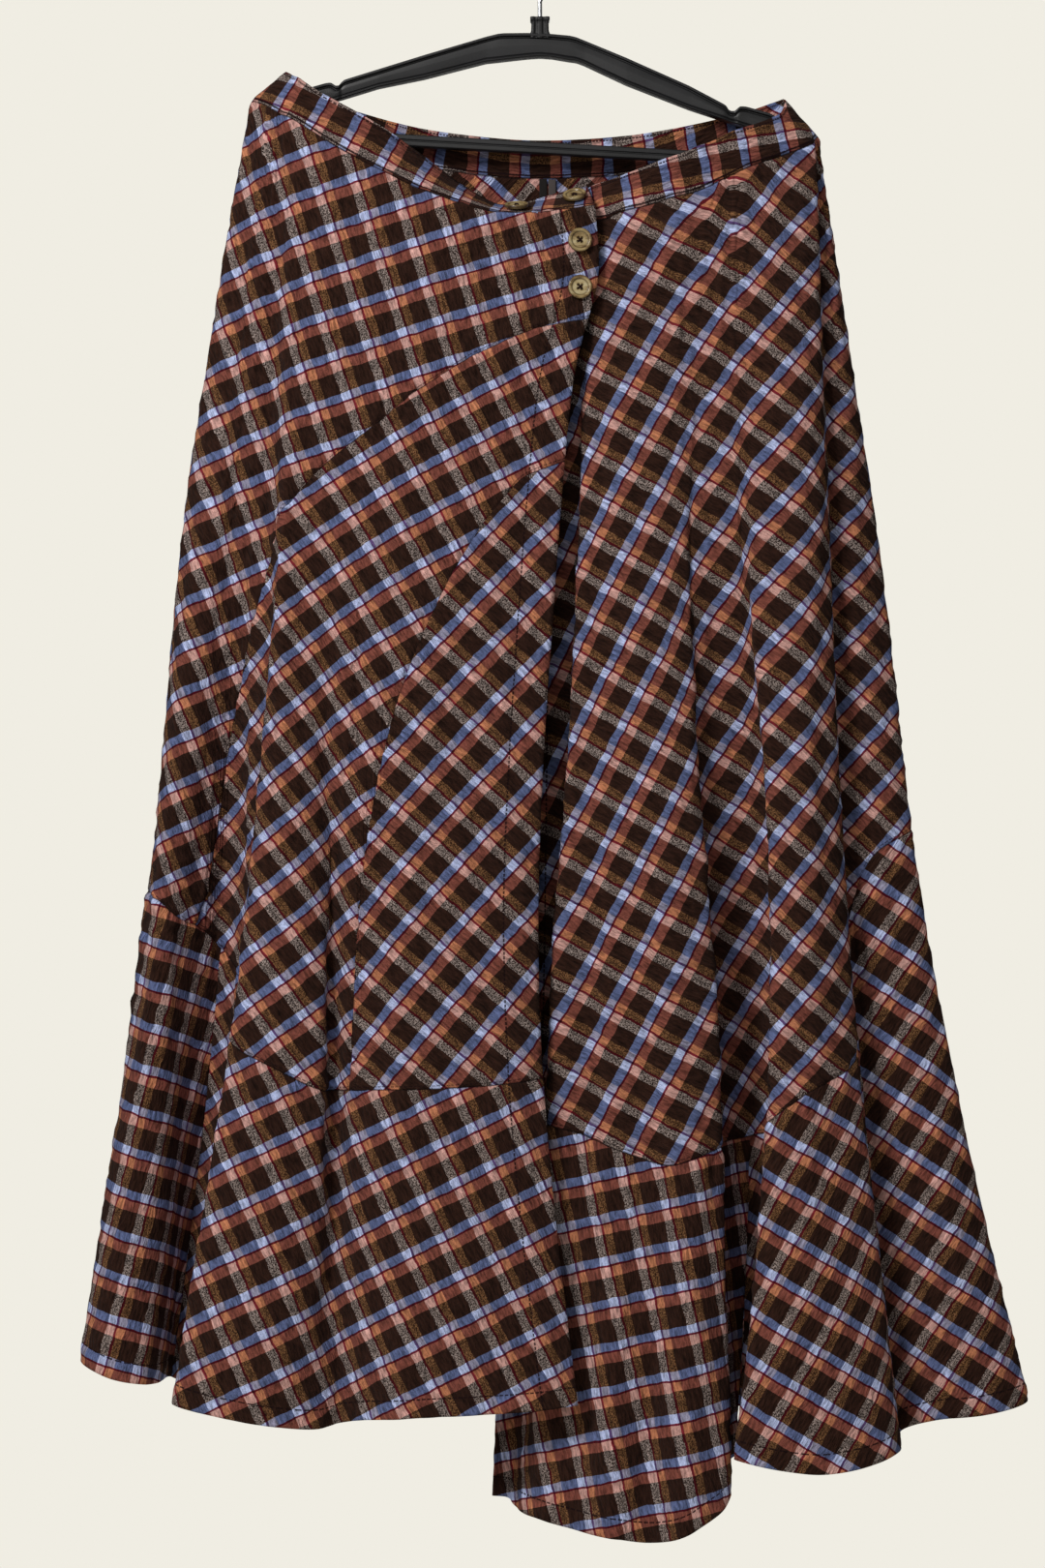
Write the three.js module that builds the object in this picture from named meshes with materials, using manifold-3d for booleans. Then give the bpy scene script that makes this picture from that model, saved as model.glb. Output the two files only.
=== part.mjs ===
import * as THREE from 'three';
import Module from 'manifold-3d';
import { mergeVertices } from 'three/addons/utils/BufferGeometryUtils.js';

// A wrap-front maxi skirt on a moulded hanger. Millimetres, +Z up, front faces -Y.
// The origin is the seat of the hanger's hook, the point that rests on a rail.

const CLOTH = 1.5;            // wall of the doubled cloth
const SEAM_GAP = 0.22;        // each side of a seam stands this far back from it
const SIDE_GAP = 0.32;        // the same at the upright seams, where the cloth turns sharply
const BAND_V = -0.03;         // v at the top edge of the waistband, v is 0 at the waist seam
const BUTTON_R = 8.9;
const BUTTON_THICK = 3.2;
const BUTTON_RIM = 1.6;
const BUTTON_DISH = 0.9;
const BUTTON_HOLE_R = 1.0;
const BUTTON_HOLE_SPREAD = 2.0;
const LABEL_THICK = 1.0;
const WIRE_R = 1.7;
const HOOK_R = 16;            // inner radius of the hook
const FLANGE = 2.2;           // web of the hanger arm
const ARM_DEPTH = 13;

// One row for each line of the cloth that runs from the waist seam to the hem, going round the
// body from the free edge of the overlap to the free edge of the underlap.
// name, x at waist / hip / knee / hem, y at the same four, z at waist / hem, band top x / y / z
const FOLDS = [
  ["overlap_edge", 37, 12, -1, 27, -37, -50, -64, -80, -200, -1074, 34, -14, -183],
  ["placket", 11, -15, -28, 0, -40, -54, -69, -86, -204, -1077, 10, -15, -189],
  ["centre", -26, -65, -79, -56, -42, -58, -73, -90, -206, -1080, -27, -15, -197],
  ["centre_crest", -64, -108, -117, -100, -42, -58, -70, -86, -197, -1083, -57, -18, -183],
  ["gore_seam", -91, -134, -139, -131, -39, -54, -58, -74, -187, -1086, -79, -21, -167],
  ["gore_valley", -111, -151, -153, -148, -37, -50, -46, -62, -177, -1090, -96, -26, -155],
  ["gore_lip", -127, -165, -160, -163, -35, -49, -60, -76, -169, -1092, -111, -31, -145],
  ["gore_crest", -150, -186, -187, -215, -31, -49, -66, -88, -156, -1085, -134, -31, -131],
  ["gore_turn", -184, -190, -218, -267, -24, -44, -54, -74, -134, -1074, -166, -20, -112],
  ["under_gore", -192, -196, -211, -250, -20, -32, -34, -46, -130, -1074, -173, -20, -107],
  ["side_valley", -198, -222, -217, -257, -17, -22, -6, 14, -126, -1073, -178, -17, -103],
  ["side_lip", -202, -236, -265, -286, -13, -18, -17, -28, -123, -1067, -182, -13, -101],
  ["side_crest", -208, -251, -283, -314, -8, -12, -25, -38, -120, -1062, -186, -8, -98],
  ["right_side", -214, -260, -293, -341, -1, -2, -4, -10, -117, -1052, -189, -1, -96],
  ["right_back", -214, -258, -288, -332, 5, 9, 12, 20, -117, -1056, -189, 5, -97],
  ["back_crest_1", -198, -239, -264, -298, 10, 20, 36, 56, -124, -1063, -182, 7, -103],
  ["back_valley_1", -171, -205, -223, -244, 12, 18, 24, 32, -136, -1060, -160, 9, -115],
  ["back_crest_2", -132, -155, -161, -167, 14, 26, 44, 60, -151, -1074, -126, 11, -126],
  ["back_valley_2", -93, -101, -103, -107, 15, 21, 20, 18, -162, -1071, -90, 12, -135],
  ["back_crest_3", -48, -51, -48, -42, 16, 27, 44, 66, -169, -1085, -47, 13, -141],
  ["back_valley_3", -7, -1, 6, 16, 16, 21, 22, 22, -172, -1082, -7, 13, -144],
  ["back_crest_4", 35, 47, 62, 81, 16, 28, 46, 62, -171, -1093, 35, 13, -143],
  ["back_valley_4", 77, 91, 115, 143, 15, 22, 22, 16, -168, -1090, 75, 15, -139],
  ["back_crest_5", 119, 140, 167, 202, 13, 26, 42, 60, -161, -1097, 116, 13, -132],
  ["back_valley_5", 160, 180, 210, 252, 10, 16, 16, 16, -151, -1087, 156, 7, -123],
  ["left_back_crest", 188, 218, 255, 310, 7, 14, 28, 42, -145, -1085, 171, 7, -118],
  ["left_back", 203, 245, 283, 354, 3, 8, 12, 20, -143, -1079, 180, 3, -115.5],
  ["left_side", 205, 248, 290, 362, -3, -3, -4, -8, -144, -1083, 181, -3, -116.5],
  ["left_side_crest", 206, 239, 273, 326, -8, -12, -16, -30, -145.5, -1090, 182, -8, -119],
  ["left_side_slope", 205, 226, 251, 291, -10, -15, -14, -26, -146.5, -1094, 181.5, -10, -121],
  ["under_left_turn", 203, 215, 231, 266, -13, -14, -10, -14, -149, -1104, 180, -13, -125],
  ["left_turn", 203, 210, 225, 262, -17, -36, -44, -58, -151, -1112, 177, -17, -129.5],
  ["left_crest", 180, 192, 197, 204, -23, -49, -61, -82, -161, -1124, 162, -23, -137],
  ["left_crest_lip", 155, 158, 169, 141, -28, -47, -54, -72, -170, -1115, 142, -28, -144],
  ["under_left_crest", 145, 151, 178, 155, -29, -43, -30, -38, -175, -1118, 132, -29, -149],
  ["left_valley", 137, 143, 158, 146, -30, -41, -12, -12, -179, -1125, 124, -30, -153],
  ["under_mid_crest", 127, 113, 122, 130, -31, -43, -28, -34, -184, -1133, 115, -31, -156],
  ["mid_crest_lip", 116, 107, 128, 140, -32, -48, -53, -60, -189, -1143, 107, -32, -160],
  ["mid_crest", 97, 90, 93, 107, -34, -52, -64, -80, -194, -1168, 90, -34, -166],
  ["mid_soft_valley", 78, 72, 74, 80, -35, -50, -57, -68, -200, -1176, 73, -28, -172],
  ["front_crest", 61, 54, 50, 54, -33, -48, -58, -72, -204, -1172, 58, -22, -177],
  ["front_slope", 51, 42, 34, 25, -30, -43, -50, -58, -208, -1168, 49, -21, -180],
  ["opening_turn", 43, 29, 6, -2, -27, -40, -47, -50, -209, -1162, 41, -17, -182],
  ["under_opening", 28, 26, 9, -20, -25, -18, -12, -16, -208, -1158, 28, -5, -187],
  ["underlap", 6, 6, -2, -23, -24, -15, -10, -16, -207, -1154, 6, 1, -193],
  ["underlap_edge", -19, -20, -24, -35, -24, -15, -12, -20, -207, -1151, -19, 1, -193],
];
const LEVELS = [0, 0.3, 0.65, 1];
// The overlap is wider beside its buttons: by how much at the free edge, at which level, over what
// spread of levels, and the share of it that each of the first folds takes.
const LAP_WIDTH = 11;
const LAP_LEVEL = 0.06;
const LAP_SPREAD = 0.055;
const LAP_SHARE = [1, 0.35];
const at = (name) => FOLDS.findIndex((row) => row[0] === name);
const RIGHT_SIDE = at('right_side');
const LEFT_SIDE = at('left_side');
const RIGHT_VALLEY = at('side_valley');
const LEFT_VALLEY = at('left_valley');
const UPRIGHT_SEAMS = [RIGHT_SIDE, LEFT_SIDE, RIGHT_VALLEY, LEFT_VALLEY];
const LAST = FOLDS.length - 1;

// Seams that run across the folds: position along the folds, fraction of the way to the hem.
const YOKE_SEAM = [
  [0, 0.096], [1, 0.098], [2, 0.118], [3, 0.159], [4, 0.196], [5, 0.222], [6, 0.244], [7, 0.285],
  [8, 0.311], [9, 0.345], [9.5, 0.4], [10, 0.49], [10.6, 0.64], [11, 0.635], [12, 0.628], [13, 0.629],
];
const CRESCENT_SEAM = [
  [0, 0.216], [1, 0.224], [1.5, 0.253], [2, 0.307], [2.5, 0.378], [3, 0.469], [3.5, 0.561],
  [3.75, 0.625], [4, 0.735], [5, 0.736], [6, 0.735], [7, 0.728], [8, 0.722], [9, 0.7], [10, 0.658],
  [10.6, 0.64], [11, 0.635],
];
const RIGHT_FLOUNCE_SEAM = [
  [0, 0.731], [2, 0.732], [4, 0.735], [5, 0.736], [6, 0.735], [7, 0.728], [8, 0.722], [9, 0.7],
  [10, 0.658], [10.6, 0.64], [11, 0.635], [12, 0.628], [13, 0.629],
];
const BACK_FLOUNCE_SEAM = [[13, 0.629], [16, 0.625], [20, 0.61], [24, 0.58], [27, 0.548]];
const LEFT_FLOUNCE_SEAM = [
  [27, 0.548], [28, 0.552], [29, 0.565], [30, 0.61], [31, 0.705], [32, 0.713], [33, 0.742],
  [35, 0.748], [36, 0.747], [37, 0.735], [38, 0.727], [39, 0.715], [40, 0.708], [42, 0.698], [45, 0.7],
];
const flat = (value) => [[0, value], [LAST, value]];

// Cubic through values set at given levels, with slopes from the neighbouring levels.
function through(levels, values, level) {
  const n = levels.length;
  let k = 0;
  while (k < n - 2 && level > levels[k + 1]) k += 1;
  const rise = (i) => (values[i + 1] - values[i]) / (levels[i + 1] - levels[i]);
  const inner = (i) => {
    const before = levels[i] - levels[i - 1];
    const after = levels[i + 1] - levels[i];
    return (rise(i - 1) * after + rise(i) * before) / (before + after);
  };
  const slope = (i) => {
    if (i === 0) return 1.5 * rise(0) - 0.5 * inner(1);
    if (i === n - 1) return 1.5 * rise(n - 2) - 0.5 * inner(n - 2);
    return inner(i);
  };
  const step = levels[k + 1] - levels[k];
  const t = (level - levels[k]) / step;
  const h = 2 * t ** 3 - 3 * t ** 2;
  return (h + 1) * values[k] + (t ** 3 - 2 * t ** 2 + t) * step * slope(k)
    - h * values[k + 1] + (t ** 3 - t ** 2) * step * slope(k + 1);
}

// Height of a seam at s, rising or falling steadily between the rows of its table.
function seamAt(table, s) {
  const n = table.length;
  let k = 0;
  while (k < n - 2 && s > table[k + 1][0]) k += 1;
  const rise = (i) => (table[i + 1][1] - table[i][1]) / (table[i + 1][0] - table[i][0]);
  const slope = (i) => {
    if (i === 0) return rise(0);
    if (i === n - 1) return rise(n - 2);
    const product = rise(i - 1) * rise(i);
    return product <= 0 ? 0 : (2 * product) / (rise(i - 1) + rise(i));
  };
  const step = table[k + 1][0] - table[k][0];
  const t = (s - table[k][0]) / step;
  const h = 2 * t ** 3 - 3 * t ** 2;
  return (h + 1) * table[k][1] + (t ** 3 - 2 * t ** 2 + t) * step * slope(k)
    - h * table[k + 1][1] + (t ** 3 - t ** 2) * step * slope(k + 1);
}

// A point on fold line i. Below the waist seam v runs 0..1 to the hem, above it to BAND_V.
function onFold(i, v) {
  const row = FOLDS[i];
  const x = row.slice(1, 5);
  const y = row.slice(5, 9);
  const wider = (LAP_SHARE[i] ?? 0) * LAP_WIDTH * Math.exp(-(((v - LAP_LEVEL) / LAP_SPREAD) ** 2));
  if (v < 0) {
    const seam = new THREE.Vector3(row[1] + wider, row[5], row[9]);
    return seam.lerp(new THREE.Vector3(row[11] + wider, row[12], row[13]), v / BAND_V);
  }
  return new THREE.Vector3(
    through(LEVELS, x, v) + wider,
    through(LEVELS, y, v),
    THREE.MathUtils.lerp(row[9], row[10], v),
  );
}

// The cloth's middle surface: a smooth curve through the fold lines at the same v.
function cloth(s, v) {
  const i = Math.min(Math.max(Math.floor(s), 0), LAST - 1);
  const u = s - i;
  const b = onFold(i, v);
  const c = onFold(i + 1, v);
  const a = i > 0 ? onFold(i - 1, v) : b.clone().multiplyScalar(2).sub(c);
  const d = i < LAST - 1 ? onFold(i + 2, v) : c.clone().multiplyScalar(2).sub(b);
  const span = (p, q) => Math.sqrt(p.distanceTo(q)) + 1e-6;
  const slope = (p, q, r) => {
    const before = span(p, q);
    const after = span(q, r);
    return q.clone().sub(p).multiplyScalar(after / before)
      .add(r.clone().sub(q).multiplyScalar(before / after))
      .multiplyScalar(span(b, c) / (before + after));
  };
  const h = 2 * u ** 3 - 3 * u ** 2;
  return b.clone().multiplyScalar(h + 1)
    .addScaledVector(slope(a, b, c), u ** 3 - 2 * u ** 2 + u)
    .addScaledVector(c, -h)
    .addScaledVector(slope(b, c, d), u ** 3 - u ** 2);
}

// Outward normal. Its samples reach across the seams, so both sides of a seam share one mitre.
function outward(s, v) {
  const across = cloth(Math.min(s + 0.2, LAST), v).sub(cloth(Math.max(s - 0.2, 0), v));
  const down = cloth(s, Math.min(v + 0.004, 1)).sub(cloth(s, Math.max(v - 0.004, BAND_V)));
  return across.cross(down).normalize();
}

// How far v moves for a seam's edge to stand SEAM_GAP away from the seam.
function setBack(table, s) {
  const v = seamAt(table, s);
  const ds = s > 0.02 ? -0.02 : 0.02;
  const along = cloth(s + ds, seamAt(table, s + ds)).sub(cloth(s, v)).normalize();
  const down = cloth(s, Math.min(v + 0.002, 1)).sub(cloth(s, v - 0.002)).divideScalar(0.004);
  const clear = Math.max(along.cross(down).length(), 20);
  return SEAM_GAP / clear;
}

function edgeV(table, s, side) {
  const v = seamAt(table, s);
  const free = v === 1 || v === BAND_V;
  return free ? v : v + side * setBack(table, s);
}

// A piece of cloth between two seams, from column s0 to column s1, as a closed wall.
function panel(s0, s1, top, bottom, rows, extra = []) {
  const columns = [...extra];
  for (let s = s0; s <= s1 + 1e-9; s += 0.5) columns.push(s);
  columns.sort((p, q) => p - q);
  const trim = (s, v) => {
    if (!UPRIGHT_SEAMS.includes(s) || (s !== s0 && s !== s1)) return s;
    const width = cloth(s + 0.01, v).distanceTo(cloth(s - 0.01, v)) / 0.02;
    return s + (s === s0 ? 1 : -1) * (SIDE_GAP / width);
  };
  const front = [];
  const back = [];
  for (const column of columns) {
    const v0 = edgeV(top, column, 1);
    const v1 = edgeV(bottom, column, -1);
    for (let r = 0; r <= rows; r += 1) {
      const v = v0 + ((v1 - v0) * r) / rows;
      const s = trim(column, v);
      const middle = cloth(s, v);
      const normal = outward(s, v);
      front.push(middle.clone().addScaledVector(normal, CLOTH / 2));
      back.push(middle.clone().addScaledVector(normal, -CLOTH / 2));
    }
  }
  const faces = [];
  const m = columns.length;
  const n = rows + 1;
  const f = (c, r) => c * n + r;
  const k = (c, r) => m * n + c * n + r;
  const quad = (a, b, c, d) => faces.push(a, b, c, a, c, d);
  for (let c = 0; c < m - 1; c += 1) {
    for (let r = 0; r < rows; r += 1) {
      quad(f(c, r), f(c + 1, r), f(c + 1, r + 1), f(c, r + 1));
      quad(k(c, r), k(c, r + 1), k(c + 1, r + 1), k(c + 1, r));
    }
    quad(f(c, 0), k(c, 0), k(c + 1, 0), f(c + 1, 0));
    quad(f(c, rows), f(c + 1, rows), k(c + 1, rows), k(c, rows));
  }
  for (let r = 0; r < rows; r += 1) {
    quad(f(0, r), f(0, r + 1), k(0, r + 1), k(0, r));
    quad(f(m - 1, r), k(m - 1, r), k(m - 1, r + 1), f(m - 1, r + 1));
  }
  return solid([...front, ...back], faces);
}

// A closed mesh from shared points and triangles.
function solid(points, faces) {
  const geometry = new THREE.BufferGeometry().setFromPoints(points);
  geometry.setIndex(faces);
  geometry.computeVertexNormals();
  return geometry;
}

// Rings of equal length joined side by side and capped at both ends.
function loft(rings) {
  const n = rings[0].length;
  const faces = [];
  for (let r = 0; r < rings.length - 1; r += 1) {
    for (let i = 0; i < n; i += 1) {
      const j = (i + 1) % n;
      const a = r * n + i;
      const b = r * n + j;
      faces.push(a, b, b + n, a, b + n, a + n);
    }
  }
  const outline = rings[0].map((p) => p.flat);
  const last = (rings.length - 1) * n;
  for (const [a, b, c] of THREE.ShapeUtils.triangulateShape(outline, [])) {
    faces.push(c, b, a, last + a, last + b, last + c);
  }
  return solid(rings.flat().map((p) => p.point), faces);
}

// Arm section: two flanges on a thinner web. Columns: x, y of the centre, z top, z bottom, depth.
function armRing([x, y, zTop, zBottom, depth]) {
  const a = depth / 2;
  const w = a - FLANGE;
  const f = FLANGE;
  const turn = [
    [-a, zTop], [-a, zTop - f], [-w, zTop - f - 1], [-w, zBottom + f + 1], [-a, zBottom + f],
    [-a, zBottom], [a, zBottom], [a, zBottom + f], [w, zBottom + f + 1], [w, zTop - f - 1],
    [a, zTop - f], [a, zTop],
  ];
  return turn.map(([dy, z]) => ({
    flat: new THREE.Vector2(dy, z),
    point: new THREE.Vector3(x, y + dy, z),
  }));
}

// Section with cut corners, standing across x. Columns: x, y, z top, z bottom, depth.
function barRing([x, y, zTop, zBottom, depth]) {
  const a = depth / 2;
  const cut = 1.6;
  const turn = [
    [-a + cut, zTop], [-a, zTop - cut], [-a, zBottom + cut], [-a + cut, zBottom],
    [a - cut, zBottom], [a, zBottom + cut], [a, zTop - cut], [a - cut, zTop],
  ];
  return turn.map(([dy, z]) => ({
    flat: new THREE.Vector2(dy, z),
    point: new THREE.Vector3(x, y + dy, z),
  }));
}

// Section with cut corners, lying across z. Columns: z, half width, half depth.
function neckRing([z, wide, deep]) {
  const cut = 1.6;
  const turn = [
    [wide - cut, -deep], [wide, -deep + cut], [wide, deep - cut], [wide - cut, deep],
    [-wide + cut, deep], [-wide, deep - cut], [-wide, -deep + cut], [-wide + cut, -deep],
  ];
  return turn.map(([x, y]) => ({
    flat: new THREE.Vector2(x, y),
    point: new THREE.Vector3(x, y, z),
  }));
}

const RIGHT_ARM = [
  [-210.8, -1, -119, -127, 5], [-190, -4, -115, -126, 8], [-166, -4, -108, -122, 10],
  [-156, -3, -105, -119, 11], [-147, -3, -106, -116, 11], [-142, -2, -101, -114, 12],
  [-120, -2, -94, -108, 12], [-86, -1, -84, -101, ARM_DEPTH], [-28, 0, -68, -89, ARM_DEPTH],
  [-6.5, 0, -67, -85, ARM_DEPTH],
];
const LEFT_ARM = [
  [6.5, 0, -67, -85, ARM_DEPTH], [24, 0, -70, -90, ARM_DEPTH], [64, -1, -86, -105, ARM_DEPTH],
  [111, -2, -107, -123, 12], [139, -3, -123, -133, 12], [143, -3, -126, -135, 11],
  [151, -4, -122, -137, 11], [170, -5, -127, -143, 10],
  [187, -5, -136, -149, 8], [203.4, -3, -147.5, -155, 5],
];
const BAR = [
  [-163, -3, -121.7, -131.5, 8], [-156, -2, -126, -138, 8], [-143, -1, -138.5, -147.5, 8],
  [-136, 0, -140.1, -149.1, 8], [138, -1, -155.9, -164.4, 8], [146, -1, -154.5, -163.5, 8],
  [159, -3, -144.5, -155.5, 8], [165, -4, -141.9, -152, 8],
];
const NECK = [[-85.5, 6.2, 7], [-66.6, 6.2, 7], [-65.4, 7.2, 7], [-56.5, 7.2, 7], [-54.7, 5.6, 5.6]];

function hook() {
  const wire = new THREE.Shape();
  wire.absarc(0, 0, WIRE_R, 0, 2 * Math.PI, false);
  const mid = HOOK_R + WIRE_R;
  const turn = (degrees) => {
    const angle = THREE.MathUtils.degToRad(degrees);
    return new THREE.Vector3(mid * Math.cos(angle), 0, -HOOK_R + mid * Math.sin(angle));
  };
  const path = new THREE.CatmullRomCurve3([
    new THREE.Vector3(0, 0, -54.2),
    new THREE.Vector3(0, 0, -48),
    new THREE.Vector3(0.2, 0, -42),
    new THREE.Vector3(6, 0, -34.5),
    ...[-35, -10, 15, 40, 65, 90, 115, 140, 165, 190].map(turn),
  ]);
  return new THREE.ExtrudeGeometry(wire, { steps: 28, curveSegments: 5, extrudePath: path });
}

const wasm = await Module();
wasm.setup();

function toSolid(geometry) {
  const bare = geometry.clone();
  bare.deleteAttribute('normal');
  bare.deleteAttribute('uv');
  const merged = mergeVertices(bare, 1e-4);
  return new wasm.Manifold(new wasm.Mesh({
    numProp: 3,
    vertProperties: new Float32Array(merged.attributes.position.array),
    triVerts: new Uint32Array(merged.index.array),
  }));
}

// A dished round button with a raised rim and four sewing holes, its back on z = 0.
function buttonShape() {
  const r = BUTTON_R;
  const top = BUTTON_THICK;
  const floor = BUTTON_THICK - BUTTON_DISH;
  const profile = [
    [0, 0], [r - 1.4, 0], [r, 1.2], [r, top - 0.7], [r - 0.6, top], [r - BUTTON_RIM, top],
    [r - BUTTON_RIM - 0.9, floor], [0, floor],
  ].map(([x, y]) => new THREE.Vector2(x, y));
  const disc = new THREE.LatheGeometry(profile, 28).rotateX(Math.PI / 2);
  let body = toSolid(disc);
  if (body.volume() < 0) throw new Error('the disc is inside out');
  for (let i = 0; i < 4; i += 1) {
    const angle = (Math.PI / 2) * (i + 0.5);
    const drill = new THREE.CylinderGeometry(BUTTON_HOLE_R, BUTTON_HOLE_R, 8, 8)
      .rotateX(Math.PI / 2)
      .translate(BUTTON_HOLE_SPREAD * Math.cos(angle), BUTTON_HOLE_SPREAD * Math.sin(angle), 1);
    body = body.subtract(toSolid(drill));
  }
  const mesh = body.getMesh();
  const geometry = new THREE.BufferGeometry();
  geometry.setAttribute('position', new THREE.BufferAttribute(mesh.vertProperties, 3));
  geometry.setIndex(new THREE.BufferAttribute(mesh.triVerts, 1));
  geometry.computeVertexNormals();
  return geometry;
}

// Turns a mesh so its own z points along the cloth's outward normal, standing off by lift.
function seat(mesh, s, v, lift) {
  const normal = outward(s, v);
  mesh.quaternion.setFromUnitVectors(new THREE.Vector3(0, 0, 1), normal);
  mesh.position.copy(cloth(s, v)).addScaledVector(normal, lift);
  return mesh;
}

const skirt = new THREE.Group();
const PLAID = { color: 0x4a2e22, roughness: 0.92, metalness: 0 };
const PLASTIC = { color: 0x17171a, roughness: 0.42, metalness: 0 };
const HORN = { color: 0xb09a68, roughness: 0.38, metalness: 0 };
const STEEL = { color: 0xb9bcc0, roughness: 0.28, metalness: 1 };
const LABEL = { color: 0x3a3636, roughness: 0.85, metalness: 0 };

function add(name, geometry, look) {
  const mesh = new THREE.Mesh(geometry, new THREE.MeshStandardMaterial(look));
  mesh.name = name;
  skirt.add(mesh);
  return mesh;
}

const BAND_TOP = flat(BAND_V);
const WAIST = flat(0);
const HEM = flat(1);
add('waistband_right', panel(0, RIGHT_SIDE, BAND_TOP, WAIST, 2), PLAID);
add('waistband_back', panel(RIGHT_SIDE, LEFT_SIDE, BAND_TOP, WAIST, 2), PLAID);
add('waistband_left', panel(LEFT_SIDE, LAST, BAND_TOP, WAIST, 2), PLAID);
add('right_yoke', panel(0, RIGHT_SIDE, WAIST, YOKE_SEAM, 8, [10.25, 10.55]), PLAID);
add('crescent_panel', panel(0, 10.55, YOKE_SEAM, CRESCENT_SEAM, 6, [3.75, 3.9, 3.97, 10.25, 10.55]), PLAID);
add('centre_panel', panel(0, 3.97, CRESCENT_SEAM, RIGHT_FLOUNCE_SEAM, 6, [3.75, 3.9, 3.97]), PLAID);
add('right_flounce_front', panel(0, RIGHT_VALLEY, RIGHT_FLOUNCE_SEAM, HEM, 5), PLAID);
add('right_flounce_side', panel(RIGHT_VALLEY, RIGHT_SIDE, RIGHT_FLOUNCE_SEAM, HEM, 5, [10.55]), PLAID);
add('back_panel', panel(RIGHT_SIDE, LEFT_SIDE, WAIST, BACK_FLOUNCE_SEAM, 8), PLAID);
add('back_flounce', panel(RIGHT_SIDE, LEFT_SIDE, BACK_FLOUNCE_SEAM, HEM, 6), PLAID);
add('left_front_panel', panel(LEFT_SIDE, LAST, WAIST, LEFT_FLOUNCE_SEAM, 9), PLAID);
add('left_flounce_side', panel(LEFT_SIDE, LEFT_VALLEY, LEFT_FLOUNCE_SEAM, HEM, 5), PLAID);
add('left_flounce_front', panel(LEFT_VALLEY, LAST, LEFT_FLOUNCE_SEAM, HEM, 5), PLAID);

const button = buttonShape();
const STAND_OFF = CLOTH / 2 + 0.3;
seat(add('button_band', button.clone(), HORN), 0.45, -0.0155, STAND_OFF + 0.3);
seat(add('button_band_inner', button.clone(), HORN), 1.76, -0.0087, STAND_OFF + 1.2);
seat(add('button_upper', button.clone(), HORN), 0.434, 0.0281, STAND_OFF);
seat(add('button_lower', button.clone(), HORN), 0.383, 0.068, STAND_OFF);

const INSIDE = -(CLOTH / 2 + 0.3 + LABEL_THICK / 2);
const size = new THREE.BoxGeometry(16, 5.6, LABEL_THICK);
const brand = new THREE.BoxGeometry(16, 5.8, LABEL_THICK);
seat(add('label_brand', brand.rotateZ(Math.PI / 2), LABEL), 20.22, 0.0115, INSIDE);
seat(add('label_size', size.rotateZ(Math.PI / 2), LABEL), 20.38, 0.0115, INSIDE);

add('hanger_neck', loft(NECK.map(neckRing)), PLASTIC);
add('hanger_arm_right', loft(RIGHT_ARM.map(armRing)), PLASTIC);
add('hanger_arm_left', loft(LEFT_ARM.map(armRing)), PLASTIC);
add('hanger_bar', loft(BAR.map(barRing)), PLASTIC);
add('hanger_hook', hook(), STEEL);

export default skirt;
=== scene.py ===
import bmesh
import bpy
import numpy as np
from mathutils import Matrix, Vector


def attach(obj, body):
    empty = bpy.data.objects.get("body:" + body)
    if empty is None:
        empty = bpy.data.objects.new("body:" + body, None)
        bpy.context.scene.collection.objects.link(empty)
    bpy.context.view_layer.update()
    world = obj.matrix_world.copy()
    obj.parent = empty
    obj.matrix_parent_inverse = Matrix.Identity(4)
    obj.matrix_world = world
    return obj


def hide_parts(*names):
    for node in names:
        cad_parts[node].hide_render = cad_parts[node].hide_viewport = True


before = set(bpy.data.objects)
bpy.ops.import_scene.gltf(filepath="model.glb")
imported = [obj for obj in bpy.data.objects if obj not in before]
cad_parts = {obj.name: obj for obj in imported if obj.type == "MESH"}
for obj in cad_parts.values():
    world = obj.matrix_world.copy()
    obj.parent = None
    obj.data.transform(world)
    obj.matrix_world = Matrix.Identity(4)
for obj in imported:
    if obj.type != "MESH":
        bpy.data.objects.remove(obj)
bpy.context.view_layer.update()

MM = 0.001
BAND_V = -0.03      # v at the waistband's top edge; v is 0 at the waist seam, 1 at the hem
BAND_HIGH = 29.0    # mm
DROP = 940.0        # mm, mean length of the cloth from waist seam to hem
WALL = 1.3          # mm, cloth with its turnings
CELL, BACK_CELL, BAND_CELL = 3.6, 5.0, 2.6               # mm, spacing of the cloth's grids
HEM_STITCH, FACING_STITCH, BAND_STITCH = 14.0, 26.0, 2.2    # mm, from the edge to its stitches
LAP_WIDTH, LAP_LEVEL, LAP_SPREAD = 11.0, 0.06, 0.055     # the overlap's extra width at its buttons
LAP_SHARE = np.array([1, 0.35, 0])                       # its share at the first fold lines
ROUND = 6.283       # once round, in the waves of the relief

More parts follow.
